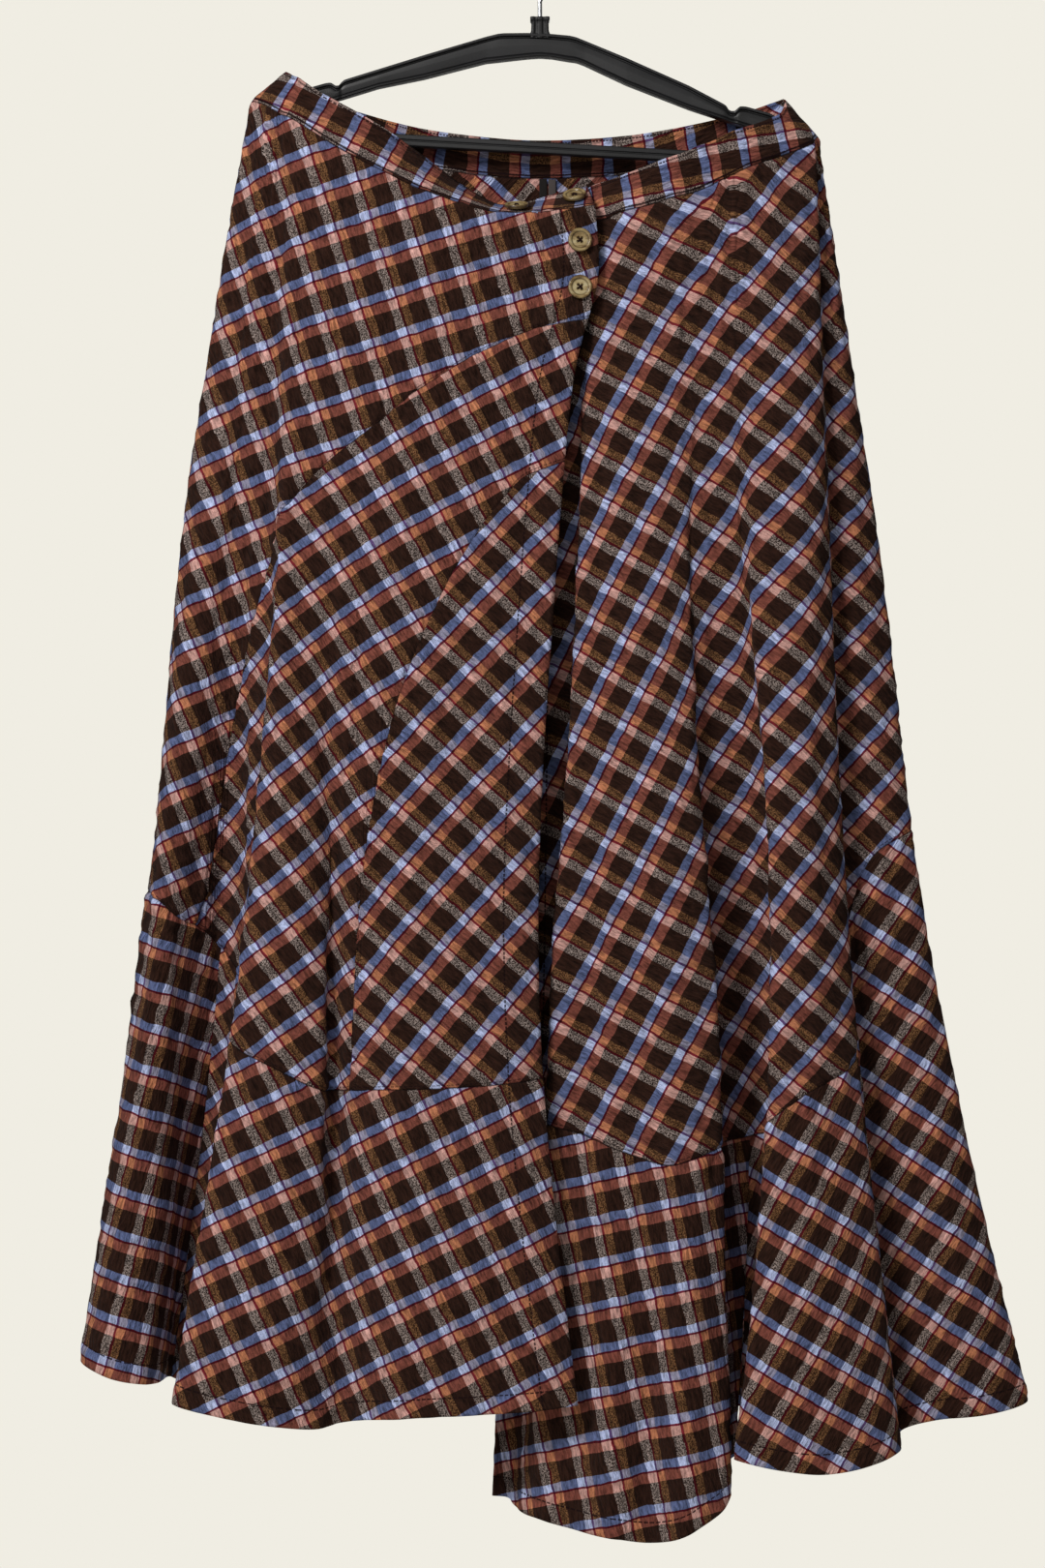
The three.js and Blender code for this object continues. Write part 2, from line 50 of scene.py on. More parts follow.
# One row for each line of the cloth from the waist seam to the hem, from the free edge of the
# overlap round the body to the free edge of the underlap. Millimetres:
# name, x at waist / hip / knee / hem, y at the same four, z at waist / hem, band top x / y / z
FOLDS = [
    ("overlap_edge", 37, 12, -1, 27, -37, -50, -64, -80, -200, -1074, 34, -14, -183),
    ("placket", 11, -15, -28, 0, -40, -54, -69, -86, -204, -1077, 10, -15, -189),
    ("centre", -26, -65, -79, -56, -42, -58, -73, -90, -206, -1080, -27, -15, -197),
    ("centre_crest", -64, -108, -117, -100, -42, -58, -70, -86, -197, -1083, -57, -18, -183),
    ("gore_seam", -91, -134, -139, -131, -39, -54, -58, -74, -187, -1086, -79, -21, -167),
    ("gore_valley", -111, -151, -153, -148, -37, -50, -46, -62, -177, -1090, -96, -26, -155),
    ("gore_lip", -127, -165, -160, -163, -35, -49, -60, -76, -169, -1092, -111, -31, -145),
    ("gore_crest", -150, -186, -187, -215, -31, -49, -66, -88, -156, -1085, -134, -31, -131),
    ("gore_turn", -184, -190, -218, -267, -24, -44, -54, -74, -134, -1074, -166, -20, -112),
    ("under_gore", -192, -196, -211, -250, -20, -32, -34, -46, -130, -1074, -173, -20, -107),
    ("side_valley", -198, -222, -238, -277, -17, -22, 12, 33, -126, -1071, -178, -17, -103),
    ("side_lip", -202, -236, -271, -290, -13, -18, -20, -31, -123, -1067, -182, -13, -101),
    ("side_crest", -208, -251, -283, -314, -8, -12, -25, -38, -120, -1062, -186, -8, -98),
    ("right_side", -214, -260, -293, -341, -1, -2, -4, -10, -117, -1052, -189, -1, -96),
    ("right_back", -214, -258, -288, -332, 5, 9, 12, 20, -117, -1056, -189, 5, -97),
    ("back_crest_1", -198, -239, -264, -298, 10, 20, 36, 56, -124, -1063, -182, 7, -103),
    ("back_valley_1", -171, -205, -223, -244, 12, 18, 24, 32, -136, -1060, -160, 9, -115),
    ("back_crest_2", -132, -155, -161, -167, 14, 26, 44, 60, -151, -1074, -126, 11, -126),
    ("back_valley_2", -93, -101, -103, -107, 15, 21, 20, 18, -162, -1071, -90, 12, -135),
    ("back_crest_3", -48, -51, -48, -42, 16, 27, 44, 66, -169, -1085, -47, 13, -141),
    ("back_valley_3", -7, -1, 6, 16, 16, 21, 22, 22, -172, -1082, -7, 13, -144),
    ("back_crest_4", 35, 47, 62, 81, 16, 28, 46, 62, -171, -1093, 35, 13, -143),
    ("back_valley_4", 77, 91, 115, 143, 15, 22, 22, 16, -168, -1090, 75, 15, -139),
    ("back_crest_5", 119, 140, 167, 202, 13, 26, 42, 60, -161, -1097, 116, 13, -132),
    ("back_valley_5", 160, 180, 210, 252, 10, 16, 16, 16, -151, -1087, 156, 7, -123),
    ("left_back_crest", 188, 218, 255, 310, 7, 14, 28, 42, -145, -1085, 171, 7, -118),
    ("left_back", 203, 245, 283, 354, 3, 8, 12, 20, -143, -1079, 180, 3, -115.5),
    ("left_side", 205, 248, 290, 362, -3, -3, -4, -8, -144, -1083, 181, -3, -116.5),
    ("left_side_crest", 206, 239, 273, 326, -8, -12, -16, -30, -145.5, -1090, 182, -8, -119),
    ("left_side_slope", 205, 226, 251, 291, -10, -15, -14, -26, -146.5, -1094, 181.5, -10, -121),
    ("under_left_turn", 203, 215, 231, 266, -13, -14, -10, -14, -149, -1104, 180, -13, -125),
    ("left_turn", 203, 210, 225, 262, -17, -36, -44, -58, -151, -1112, 177, -17, -129.5),
    ("left_crest", 180, 192, 197, 204, -23, -49, -61, -82, -161, -1124, 162, -23, -137),
    ("left_crest_lip", 155, 158, 169, 141, -28, -47, -54, -72, -170, -1115, 142, -28, -144),
    ("under_left_crest", 145, 151, 178, 155, -29, -43, -30, -38, -175, -1118, 132, -29, -149),
    ("left_valley", 137, 143, 158, 146, -30, -41, -3, 0, -179, -1125, 124, -30, -153),
    ("under_mid_crest", 127, 113, 122, 130, -31, -43, -28, -34, -184, -1133, 115, -31, -156),
    ("mid_crest_lip", 116, 107, 128, 140, -32, -48, -53, -60, -189, -1143, 107, -32, -160),
    ("mid_crest", 97, 90, 93, 107, -34, -52, -64, -80, -194, -1168, 90, -34, -166),
    ("mid_soft_valley", 78, 72, 74, 80, -35, -50, -57, -68, -200, -1176, 73, -28, -172),
    ("front_crest", 61, 54, 50, 54, -33, -48, -58, -72, -204, -1172, 58, -22, -177),
    ("front_slope", 51, 42, 34, 25, -30, -43, -50, -58, -208, -1168, 49, -21, -180),
    ("opening_turn", 43, 29, 6, -2, -27, -40, -47, -50, -209, -1162, 41, -17, -182),
    ("under_opening", 28, 26, 9, -20, -25, -18, -8, -12, -208, -1158, 28, -5, -187),
    ("underlap", 6, 6, -2, -23, -24, -15, -7, -11, -207, -1154, 6, 1, -193),
    ("underlap_edge", -19, -20, -24, -35, -24, -15, -10, -18, -207, -1151, -19, 1, -193),
]
NAMES = [row[0] for row in FOLDS]
TABLE = np.array([row[1:] for row in FOLDS], float)
LEVELS = np.array([0.0, 0.3, 0.65, 1.0])
LAST = len(FOLDS) - 1
RIGHT_SIDE, LEFT_SIDE = NAMES.index("right_side"), NAMES.index("left_side")
RIGHT_VALLEY, LEFT_VALLEY = NAMES.index("side_valley"), NAMES.index("left_valley")

# Seams across the folds: position along the folds, fraction of the way to the hem.
YOKE_SEAM = [
    (0, 0.096), (1, 0.098), (2, 0.118), (3, 0.159), (4, 0.196), (5, 0.222), (6, 0.244), (7, 0.285),
    (8, 0.311), (9, 0.345), (9.5, 0.4), (10, 0.49), (10.6, 0.64), (11, 0.635), (12, 0.628), (13, 0.629)]
CRESCENT_SEAM = [
    (0, 0.216), (1, 0.224), (1.5, 0.253), (2, 0.307), (2.5, 0.378), (3, 0.469), (3.5, 0.561),
    (3.75, 0.625), (4, 0.735), (5, 0.736), (6, 0.735), (7, 0.728), (8, 0.722), (9, 0.7), (10, 0.658),
    (10.6, 0.64), (11, 0.635)]
RIGHT_FLOUNCE_SEAM = [
    (0, 0.731), (2, 0.732), (4, 0.735), (5, 0.736), (6, 0.735), (7, 0.728), (8, 0.722), (9, 0.7),
    (10, 0.658), (10.6, 0.64), (11, 0.635), (12, 0.628), (13, 0.629)]
BACK_FLOUNCE_SEAM = [(13, 0.629), (16, 0.625), (20, 0.61), (24, 0.58), (27, 0.548)]
LEFT_FLOUNCE_SEAM = [
    (27, 0.548), (28, 0.552), (29, 0.565), (30, 0.61), (31, 0.705), (32, 0.713), (33, 0.742),
    (35, 0.748), (36, 0.747), (37, 0.735), (38, 0.727), (39, 0.715), (40, 0.708), (42, 0.698), (45, 0.7)]
BAND_TOP = [(0, BAND_V), (LAST, BAND_V)]
WAIST = [(0, 0.0), (LAST, 0.0)]
HEM = [(0, 1.0), (LAST, 1.0)]


def cubic(t, step, a, b, slope_a, slope_b):
    """Hermite curve from a to b over a step, at the share t of it, with the slopes at its ends."""
    h = 2 * t**3 - 3 * t**2
    return ((h + 1) * a + (t**3 - 2 * t**2 + t) * step * slope_a
            - h * b + (t**3 - t**2) * step * slope_b)


def through(levels, values, level):
    """Cubic curve through values at given levels. The slope at a level is the mean of the rises
    on its two sides, each weighted by the other's length; the end slopes carry on the curve."""
    step = np.diff(levels)
    rise = np.diff(values, axis=-1) / step
    slope = np.empty_like(values)
    slope[..., 1:-1] = (rise[..., :-1] * step[1:] + rise[..., 1:] * step[:-1]) / (step[:-1] + step[1:])
    slope[..., 0] = 1.5 * rise[..., 0] - 0.5 * slope[..., 1]
    slope[..., -1] = 1.5 * rise[..., -1] - 0.5 * slope[..., -2]
    k = np.clip(np.searchsorted(levels, level, side="right") - 1, 0, len(levels) - 2)
    pick = lambda array, index: np.take_along_axis(array, index[..., None], -1)[..., 0]
    return cubic((level - levels[k]) / step[k], step[k], pick(values, k), pick(values, k + 1),
                 pick(slope, k), pick(slope, k + 1))


def seam_at(table, s):
    """Seam height v at s: cubic between the rows, each inner slope the harmonic mean of its two
    neighbouring rises, and level where they turn."""
    at, v = np.array(table, float).T
    step = np.diff(at)
    rise = np.diff(v) / step
    product, total = rise[:-1] * rise[1:], rise[:-1] + rise[1:]
    inner = np.where(product > 0, 2 * product / np.where(total == 0, 1, total), 0)
    slope = np.concatenate([rise[:1], inner, rise[-1:]])
    k = np.clip(np.searchsorted(at, s, side="right") - 1, 0, len(at) - 2)
    return cubic((s - at[k]) / step[k], step[k], v[k], v[k + 1], slope[k], slope[k + 1])


def on_fold(i, v):
    """Point of fold line i at height v: the four x and y carried by a smooth curve, z straight
    from waist to hem; above the waist seam a straight line to the band's top edge. The overlap
    is wider beside its buttons: a bell over the height, full at the free edge."""
    row = TABLE[np.clip(i, 0, LAST)]
    below = np.clip(v, 0, None)
    hang = np.stack([through(LEVELS, row[..., 0:4], below), through(LEVELS, row[..., 4:8], below),
                     row[..., 8] + (row[..., 9] - row[..., 8]) * below], -1)
    seam = np.stack([row[..., 0], row[..., 4], row[..., 8]], -1)
    share = np.clip(v / BAND_V, 0, None)[..., None]
    point = np.where(share > 0, seam + (row[..., 10:13] - seam) * share, hang)
    wider = LAP_WIDTH * np.exp(-(((v - LAP_LEVEL) / LAP_SPREAD) ** 2)) * LAP_SHARE[np.clip(i, 0, 2)]
    return point + np.stack([wider, 0 * wider, 0 * wider], -1)


def cloth(s, v):
    """Middle surface of the cloth: a centripetal curve through the fold lines at equal v, in mm."""
    s, v = np.broadcast_arrays(np.asarray(s, float), np.asarray(v, float))
    i = np.clip(np.floor(s).astype(int), 0, LAST - 1)
    u = (s - i)[..., None]
    a, b, c, d = (on_fold(i + k, v) for k in (-1, 0, 1, 2))
    a = np.where((i == 0)[..., None], 2 * b - c, a)
    d = np.where((i == LAST - 1)[..., None], 2 * c - b, d)
    span = lambda p, q: np.sqrt(np.linalg.norm(q - p, axis=-1, keepdims=True)) + 1e-6
    ab, bc, cd = span(a, b), span(b, c), span(c, d)
    m1 = ((b - a) / ab * bc + (c - b) / bc * ab) / (ab + bc) * bc
    m2 = ((c - b) / bc * cd + (d - c) / cd * bc) / (bc + cd) * bc
    return ((2 * u**3 - 3 * u**2 + 1) * b + (u**3 - 2 * u**2 + u) * m1
            + (3 * u**2 - 2 * u**3) * c + (u**3 - u**2) * m2)


def arc(points, axis=0):
    """Running length of each line of points along an axis, from 0."""
    step = np.linalg.norm(np.diff(points, axis=axis), axis=-1)
    return np.concatenate([np.zeros_like(np.take(step, [0], axis)), np.cumsum(step, axis)], axis)


def normals(points):
    """Unit normals of a grid: the cross product of its two running differences."""
    across, down = np.gradient(points, axis=0), np.gradient(points, axis=1)
    n = np.cross(across, down)
    return n / np.maximum(np.linalg.norm(n, axis=-1, keepdims=True), 1e-9)


STEPS = np.linspace(0, LAST, LAST * 24 + 1)
GIRTH = arc(cloth(STEPS, np.full_like(STEPS, 0.55)))


def girth(s):
    """Length round the cloth at mid height, mm, a measure shared by all the panels."""
    return np.interp(s, STEPS, GIRTH)


def beside(table, s, v):
    """Distance in mm from the seam of a table, and length along that seam."""
    line = seam_at(table, STEPS)
    turn = np.gradient(line * DROP, GIRTH)
    along = np.concatenate([[0], np.cumsum(np.hypot(np.diff(line * DROP), np.diff(GIRTH)))])
    clear = np.interp(s, STEPS, 1 / np.hypot(1, turn))
    low, high = table[0][0], table[-1][0]
    off = np.maximum(np.maximum(low - s, s - high), 0) * 1e4
    return np.abs(v - seam_at(table, np.clip(s, low, high))) * DROP * clear + off, np.interp(s, STEPS, along)


FAR = 9000.0        # mm, where no stitch line reaches
OPEN_LINES, OPEN_STEPS = 3, 60      # fold lines beside the opening, steps of its table of lengths
OPEN_S, OPEN_V = np.meshgrid(np.linspace(0, OPEN_LINES, OPEN_STEPS + 1),
                             np.linspace(BAND_V, 1, OPEN_STEPS + 1), indexing="ij")
FROM_OVERLAP, FROM_UNDERLAP = arc(cloth(OPEN_S, OPEN_V)), arc(cloth(LAST - OPEN_S, OPEN_V))


def opening(s, v):
    """Distance in mm from the free edge of the overlap or of the underlap, read between the
    entries of a table of lengths along the cloth."""
    total = np.full_like(s, FAR)
    for table, near in ((FROM_OVERLAP, s), (FROM_UNDERLAP, LAST - s)):
        i = np.clip(near / OPEN_LINES * OPEN_STEPS, 0, OPEN_STEPS - 0.001)
        j = np.clip((v - BAND_V) / (1 - BAND_V) * OPEN_STEPS, 0, OPEN_STEPS - 0.001)
        a, b = i.astype(int), j.astype(int)
        i, j = i - a, j - b
        length = ((table[a, b] * (1 - i) + table[a + 1, b] * i) * (1 - j)
                  + (table[a, b + 1] * (1 - i) + table[a + 1, b + 1] * i) * j)
        total = np.where(near < OPEN_LINES, np.minimum(total, length), total)
    return total


# Creases one by one: height and half width in mm, then for each point its place across the folds
# in hundredths and its fraction of the way to the hem in thousandths
CREASES = [
    # yoke, the drags from the buttons and from the band
    (1.5, 9, 200, 6, 248, 23, 304, 45, 394, 71),
    (1.3, 9, 120, 26, 170, 40, 216, 60, 240, 85),
    (1.3, 8, 734, 7, 708, 39, 700, 84, 710, 132),
    (-1.1, 8, 800, 29, 824, 76, 924, 140, 952, 201),
    (1.1, 9, 494, 16, 476, 53, 496, 102, 558, 153),
    # crescent and centre panels
    (2.0, 7, 458, 326, 426, 389, 452, 441, 484, 492, 528, 559, 596, 650, 606, 728),
    (-0.9, 10, 374, 352, 364, 430, 392, 526, 444, 637, 480, 723),
    (1.8, 5, 952, 337, 954, 397, 946, 492, 940, 592, 778, 670, 770, 706),
    (0.8, 9, 668, 340, 670, 417, 706, 498, 718, 576, 726, 653),
    (2.0, 7, 222, 399, 194, 460, 158, 532, 122, 606, 90, 673, 102, 715),
    (1.2, 9, 192, 310, 154, 391, 110, 474, 52, 557, 28, 638),
    (0.9, 8, 64, 216, 58, 314, 56, 411, 46, 525, 46, 637),
    # right flounce
    (2.3, 6, 598, 746, 616, 806, 480, 865, 502, 931, 530, 997),
    (-1.4, 8, 462, 754, 496, 812, 394, 870, 412, 936, 438, 998),
    (1.2, 10, 738, 738, 750, 792, 754, 852, 750, 919, 744, 984),
    (1.3, 9, 262, 740, 280, 791, 248, 862, 246, 933, 248, 996),
    (1.1, 9, 126, 734, 136, 793, 132, 865, 128, 937, 130, 996),
    (0.9, 7, 1106, 634, 1108, 707, 1106, 798, 1112, 896, 1116, 980),
    (-0.8, 7, 1186, 641, 1196, 718, 1200, 809, 1208, 900, 1206, 982),
    # yoke beside the side fold
    (1.7, 6, 1044, 514, 1048, 559, 1048, 597, 1050, 620),
    (1.0, 9, 1004, 369, 1052, 446, 1080, 523, 1104, 600),
    # long left panel
    (1.0, 7, 4250, 146, 4208, 250, 4278, 356, 4284, 476, 4178, 577, 4178, 680),
    (1.6, 7, 3596, 308, 3586, 354, 3716, 403, 3730, 445, 3726, 498, 3578, 557, 3688, 599, 3708, 648,
     3574, 753),
    (-1.4, 8, 3556, 326, 3554, 386, 3568, 445, 3562, 505, 3550, 559, 3546, 612, 3548, 672),
    (1.6, 7, 3320, 323, 3322, 383, 3280, 445, 3278, 497, 3268, 548, 3386, 591, 3298, 646, 3294, 705),
    (1.0, 9, 3934, 253, 3884, 328, 3852, 402, 3894, 472, 3876, 545, 3902, 616, 3878, 714),
    (1.5, 6, 3902, 616, 3894, 652, 3886, 689, 3878, 718),
    (1.5, 9, 4018, 23, 3852, 23, 3722, 17, 3540, 10),
    (1.2, 9, 4012, 60, 3810, 55, 3618, 44, 3378, 29),
    (1.1, 10, 3236, 42, 3228, 103, 3212, 179, 3212, 238),
    (0.9, 6, 2828, 120, 2808, 196, 2822, 272, 2862, 347, 2904, 422),
    # left flounce and its long crest
    (1.8, 6, 3880, 729, 3884, 771, 3908, 818, 3920, 864, 3942, 919, 3964, 977),
    (-1.3, 7, 3834, 731, 3840, 778, 3870, 826, 3884, 876, 3906, 925, 3926, 976),
    (1.7, 6, 3938, 746, 3960, 790, 3976, 841, 3994, 892, 4000, 950, 4004, 997),
    (1.1, 7, 4070, 713, 4086, 780, 4100, 839, 4114, 898, 4128, 958, 4136, 995),
    (1.0, 8, 3754, 744, 3762, 796, 3764, 854, 3776, 908, 3786, 970),
    (1.2, 6, 4250, 952, 4260, 975, 4256, 989),
    (1.1, 7, 3204, 719, 3222, 781, 3226, 839, 3234, 898, 3242, 957),
    (1.0, 8, 3138, 716, 3138, 789, 3150, 859, 3164, 915, 3174, 978),
    (1.0, 7, 2802, 561, 2780, 622, 2770, 699, 2778, 789, 2804, 878, 2838, 966),
    (0.9, 8, 2806, 651, 2822, 742, 2842, 831, 2876, 921, 2900, 987),
]


def crease_height(s, v):
    """Sum of the creases. Each is a ridge over the shortest distance from its line: half a
    bell of its width, half a sharp crest that falls off twice as fast."""
    x, y = girth(s), v * DROP
    lift = np.zeros_like(x)
    for height, width, *line in CREASES:
        at, level = np.array(line[::2]) / 100, np.array(line[1::2]) / 1000
        t = np.linspace(0, len(at) - 1, 8 * len(at))
        px = girth(np.interp(t, range(len(at)), at))
        py = np.interp(t, range(len(at)), level) * DROP
        near = (np.abs(x - px.mean()) < np.ptp(px) / 2 + 4 * width) & (
            np.abs(y - py.mean()) < np.ptp(py) / 2 + 4 * width)
        a = np.stack([px, py], -1)
        step = np.diff(a, axis=0)
        gap = np.stack([x[near], y[near]], -1)[:, None] - a[:-1]
        share = np.clip(np.sum(gap * step, -1) / np.sum(step * step, -1), 0, 1)
        away = np.sqrt(np.min(np.sum((gap - share[..., None] * step) ** 2, -1), 1))
        lift[near] += height * (0.5 * np.exp(-(away / width) ** 2) + 0.7 * np.exp(-2.2 * away / width))
    return lift


def pucker(along, *waves):
    """Mean of a few sine waves along a seam, each with its own start."""
    return sum(np.sin(ROUND * along / wave + wave) for wave in waves) / len(waves)


def relief(s, v):
    """How far the cloth stands off its smooth form, in mm: long soft creases that deepen towards
    the hem, two sets of slanting drags, a fine crinkle of short waves in all directions, the single
    creases, gathers that fade below the flounce seams, and at each seam a groove with puckers."""
    x, y = girth(s), v * DROP
    grow = np.clip(0.25 + 0.9 * v, 0, 1.1)
    rng = np.random.default_rng(11)
    lift = np.zeros_like(x)
    for wave, slant, high in ((58, 0.06, 0.9), (41, -0.05, 0.7), (33, 0.09, 0.45), (24, -0.12, 0.3)):
        phase = rng.uniform(0, 6.28, 2)
        bend = 5 * np.sin(y / 97 + phase[1]) + 4 * np.sin(y / 61 + x / 90)
        lift += high * grow * np.sin(ROUND * (x + slant * y + bend) / wave + phase[0])
    for wave, slant, high in ((37, 0.9, 0.35), (29, -0.8, 0.3), (19, 1.3, 0.16), (15, -1.1, 0.13)):
        phase = rng.uniform(0, 6.28, 2)
        bend = 6 * np.sin(x / 73 + phase[1])
        share = 0.5 + 0.5 * np.sin(x / 110 + phase[0]) * np.sin(y / 130 + phase[1])
        lift += high * share * np.sin(ROUND * (x * slant + y + bend) / (wave * np.hypot(slant, 1)))
    for wave in np.geomspace(8.5, 24, 12):
        turn, phase, slow = rng.uniform(0, 3.14), rng.uniform(0, 6.28), rng.uniform(0, 6.28)
        run = x * np.cos(turn) + y * np.sin(turn)
        side = y * np.cos(turn) - x * np.sin(turn)
        share = 0.6 + 0.4 * np.sin(side / (wave * 1.6) + slow)
        drift = phase + 1.2 * np.sin(side / wave)
        lift += 0.2 * np.sqrt(wave / 14) * share * np.sin(ROUND * run / wave + drift)
    lift += crease_height(s, v)
    for table in (YOKE_SEAM, CRESCENT_SEAM, RIGHT_FLOUNCE_SEAM, BACK_FLOUNCE_SEAM, LEFT_FLOUNCE_SEAM):
        near, along = beside(table, s, v)
        waves = sum(np.sin(ROUND * along / wave + 1.7 * wave) for wave in (9.0, 13.0, 21.0)) / 3
        lift += (waves + 0.3) * np.exp(-(near / 9) ** 2) - 0.9 * np.exp(-(near / 1.6) ** 2)
    for table in (RIGHT_FLOUNCE_SEAM, BACK_FLOUNCE_SEAM, LEFT_FLOUNCE_SEAM):
        near, along = beside(table, s, v)
        low, high = table[0][0], table[-1][0]
        below = (v > seam_at(table, np.clip(s, low, high))) & (s >= low) & (s <= high)
        gather = (np.sin(ROUND * along / 19 + 1.5 * np.sin(along / 31))
                  + 0.7 * np.sin(ROUND * along / 31 + 2) + 0.5 * np.sin(ROUND * along / 12 + 4))
        fade = np.clip(near / 6, 0, 1) * np.exp(-np.minimum(near, 999) / 48)
        lift += np.where(below, 0.85 * gather * fade, 0)
    near = np.abs((1 - v) * DROP - HEM_STITCH)
    lift += (0.5 * pucker(x, 9.0, 14.0, 23.0) * np.exp(-(near / 10) ** 2)
             - 0.45 * np.exp(-(near / 2.2) ** 2))
    near = np.abs(opening(s, v) - FACING_STITCH)
    lift += 0.25 * np.sin(ROUND * y / 13) * np.exp(-(near / 7) ** 2) - 0.4 * np.exp(-(near / 2.2) ** 2)
    near = np.abs(y)
    lift += (0.3 * pucker(x, 8.0, 12.0, 19.0) * np.exp(-(near / 8) ** 2)
             - 0.8 * np.exp(-(near / 1.5) ** 2))
    return lift * np.where(v < 0, 0.35, 1.0)


# ---- materials ----------------------------------------------------------------------------

def linear(r, g, b):
    """Scene-linear colour of an sRGB colour given as 0 to 255."""
    c = np.array([r, g, b]) / 255
    return (*np.where(c <= 0.04045, c / 12.92, ((c + 0.055) / 1.055) ** 2.4), 1.0)


class Nodes:
    """Short helpers for a material's node tree."""

    def __init__(self, name, roughness, **constants):
        self.material = bpy.data.materials.new(name)
        self.material.use_nodes = True
        self.tree = self.material.node_tree
        self.shader = self.tree.nodes["Principled BSDF"]
        self.shader.inputs["Roughness"].default_value = roughness
        for socket, value in constants.items():
            self.shader.inputs[socket.replace("_", " ")].default_value = value

    def node(self, kind, **settings):
        node = self.tree.nodes.new("ShaderNode" + kind)
        for key, value in settings.items():
            setattr(node, key, value)
        return node

    def put(self, socket, value):
        if isinstance(value, bpy.types.NodeSocket):
            self.tree.links.new(value, socket)
        else:
            socket.default_value = value

    def math(self, operation, a, b=0.0):
        node = self.node("Math", operation=operation)
        self.put(node.inputs[0], a)
        self.put(node.inputs[1], b)
        return node.outputs[0]

    def plus(self, a, b):
        return self.math("ADD", a, b)

    def times(self, a, b):
        return self.math("MULTIPLY", a, b)

    def below(self, a, limit):
        return self.math("LESS_THAN", a, limit)

    def above(self, a, limit):
        return self.math("GREATER_THAN", a, limit)

    def mix(self, factor, a, b, blend="MIX"):
        node = self.node("Mix", data_type="RGBA", blend_type=blend)
        self.put(node.inputs["Factor"], factor)
        self.put(node.inputs[6], a)
        self.put(node.inputs[7], b)
        return node.outputs[2]

    def ramp(self, factor, stops, interpolation="CONSTANT"):
        node = self.node("ValToRGB")
        node.color_ramp.interpolation = interpolation
        points = node.color_ramp.elements
        while len(points) < len(stops):
            points.new(0.5)
        for point, (place, colour) in zip(points, stops):
            point.position = place
            point.color = colour
        self.put(node.inputs[0], factor)
        return node.outputs[0]

    def axes(self, source):
        node = self.node("SeparateXYZ")
        self.put(node.inputs[0], source)
        return node.outputs

    def join(self, x, y, z=0.0):
        node = self.node("CombineXYZ")
        for socket, value in zip(node.inputs, (x, y, z)):
            self.put(socket, value)
        return node.outputs[0]

    def noise(self, vector, scale, detail=2.0, roughness=0.5, output=0):
        node = self.node("TexNoise")
        self.put(node.inputs["Vector"], vector)
        for socket, value in (("Scale", scale), ("Detail", detail), ("Roughness", roughness)):
            node.inputs[socket].default_value = value
        return node.outputs[output]

    def wave(self, vector, scale, direction):
        """Fine regular bands, as of ribs, plies or twill."""
        node = self.node("TexWave", wave_type="BANDS", bands_direction=direction)
        self.put(node.inputs["Vector"], vector)
        node.inputs["Scale"].default_value = scale
        return node.outputs[1]

    def bump(self, height, strength, distance, under=None):
        node = self.node("Bump")
        node.inputs["Strength"].default_value = strength
        node.inputs["Distance"].default_value = distance
        self.put(node.inputs["Height"], height)
        if under is not None:
            self.put(node.inputs["Normal"], under)
        return node.outputs[0]

    def uv(self, name):
        return self.node("UVMap", uv_map=name).outputs[0]

    def solid(self):
        return self.node("TexCoord").outputs["Object"]

    def done(self, colour=None, normal=None, roughness=None):
        if colour is not None:
            self.put(self.shader.inputs["Base Color"], colour)
        if normal is not None:
            self.put(self.shader.inputs["Normal"], normal)
        if roughness is not None:
            self.put(self.shader.inputs["Roughness"], roughness)
        return self.material


BLUE_PITCH, GREY_PITCH = 0.0305, 0.0270                  # m, repeat of the two stripe families
GREY_TO, LINE_TO, OCHRE_TO = np.array([6.6, 8.3, 14.1]) / 27      # ends of the stripes along it
BLUE_TO, WINE_TO, RUST_TO = np.array([6.3, 7.8, 14.9]) / 30.5     # and of those across it
GREY_MIDDLE, BLUE_MIDDLE = 3.3 / 27.0 + 40, 3.15 / 30.5 + 40      # whole repeats keep them positive
STITCH_PITCH, STITCH_SHARE = 0.0034, 0.72                # m from stitch to stitch, thread's share


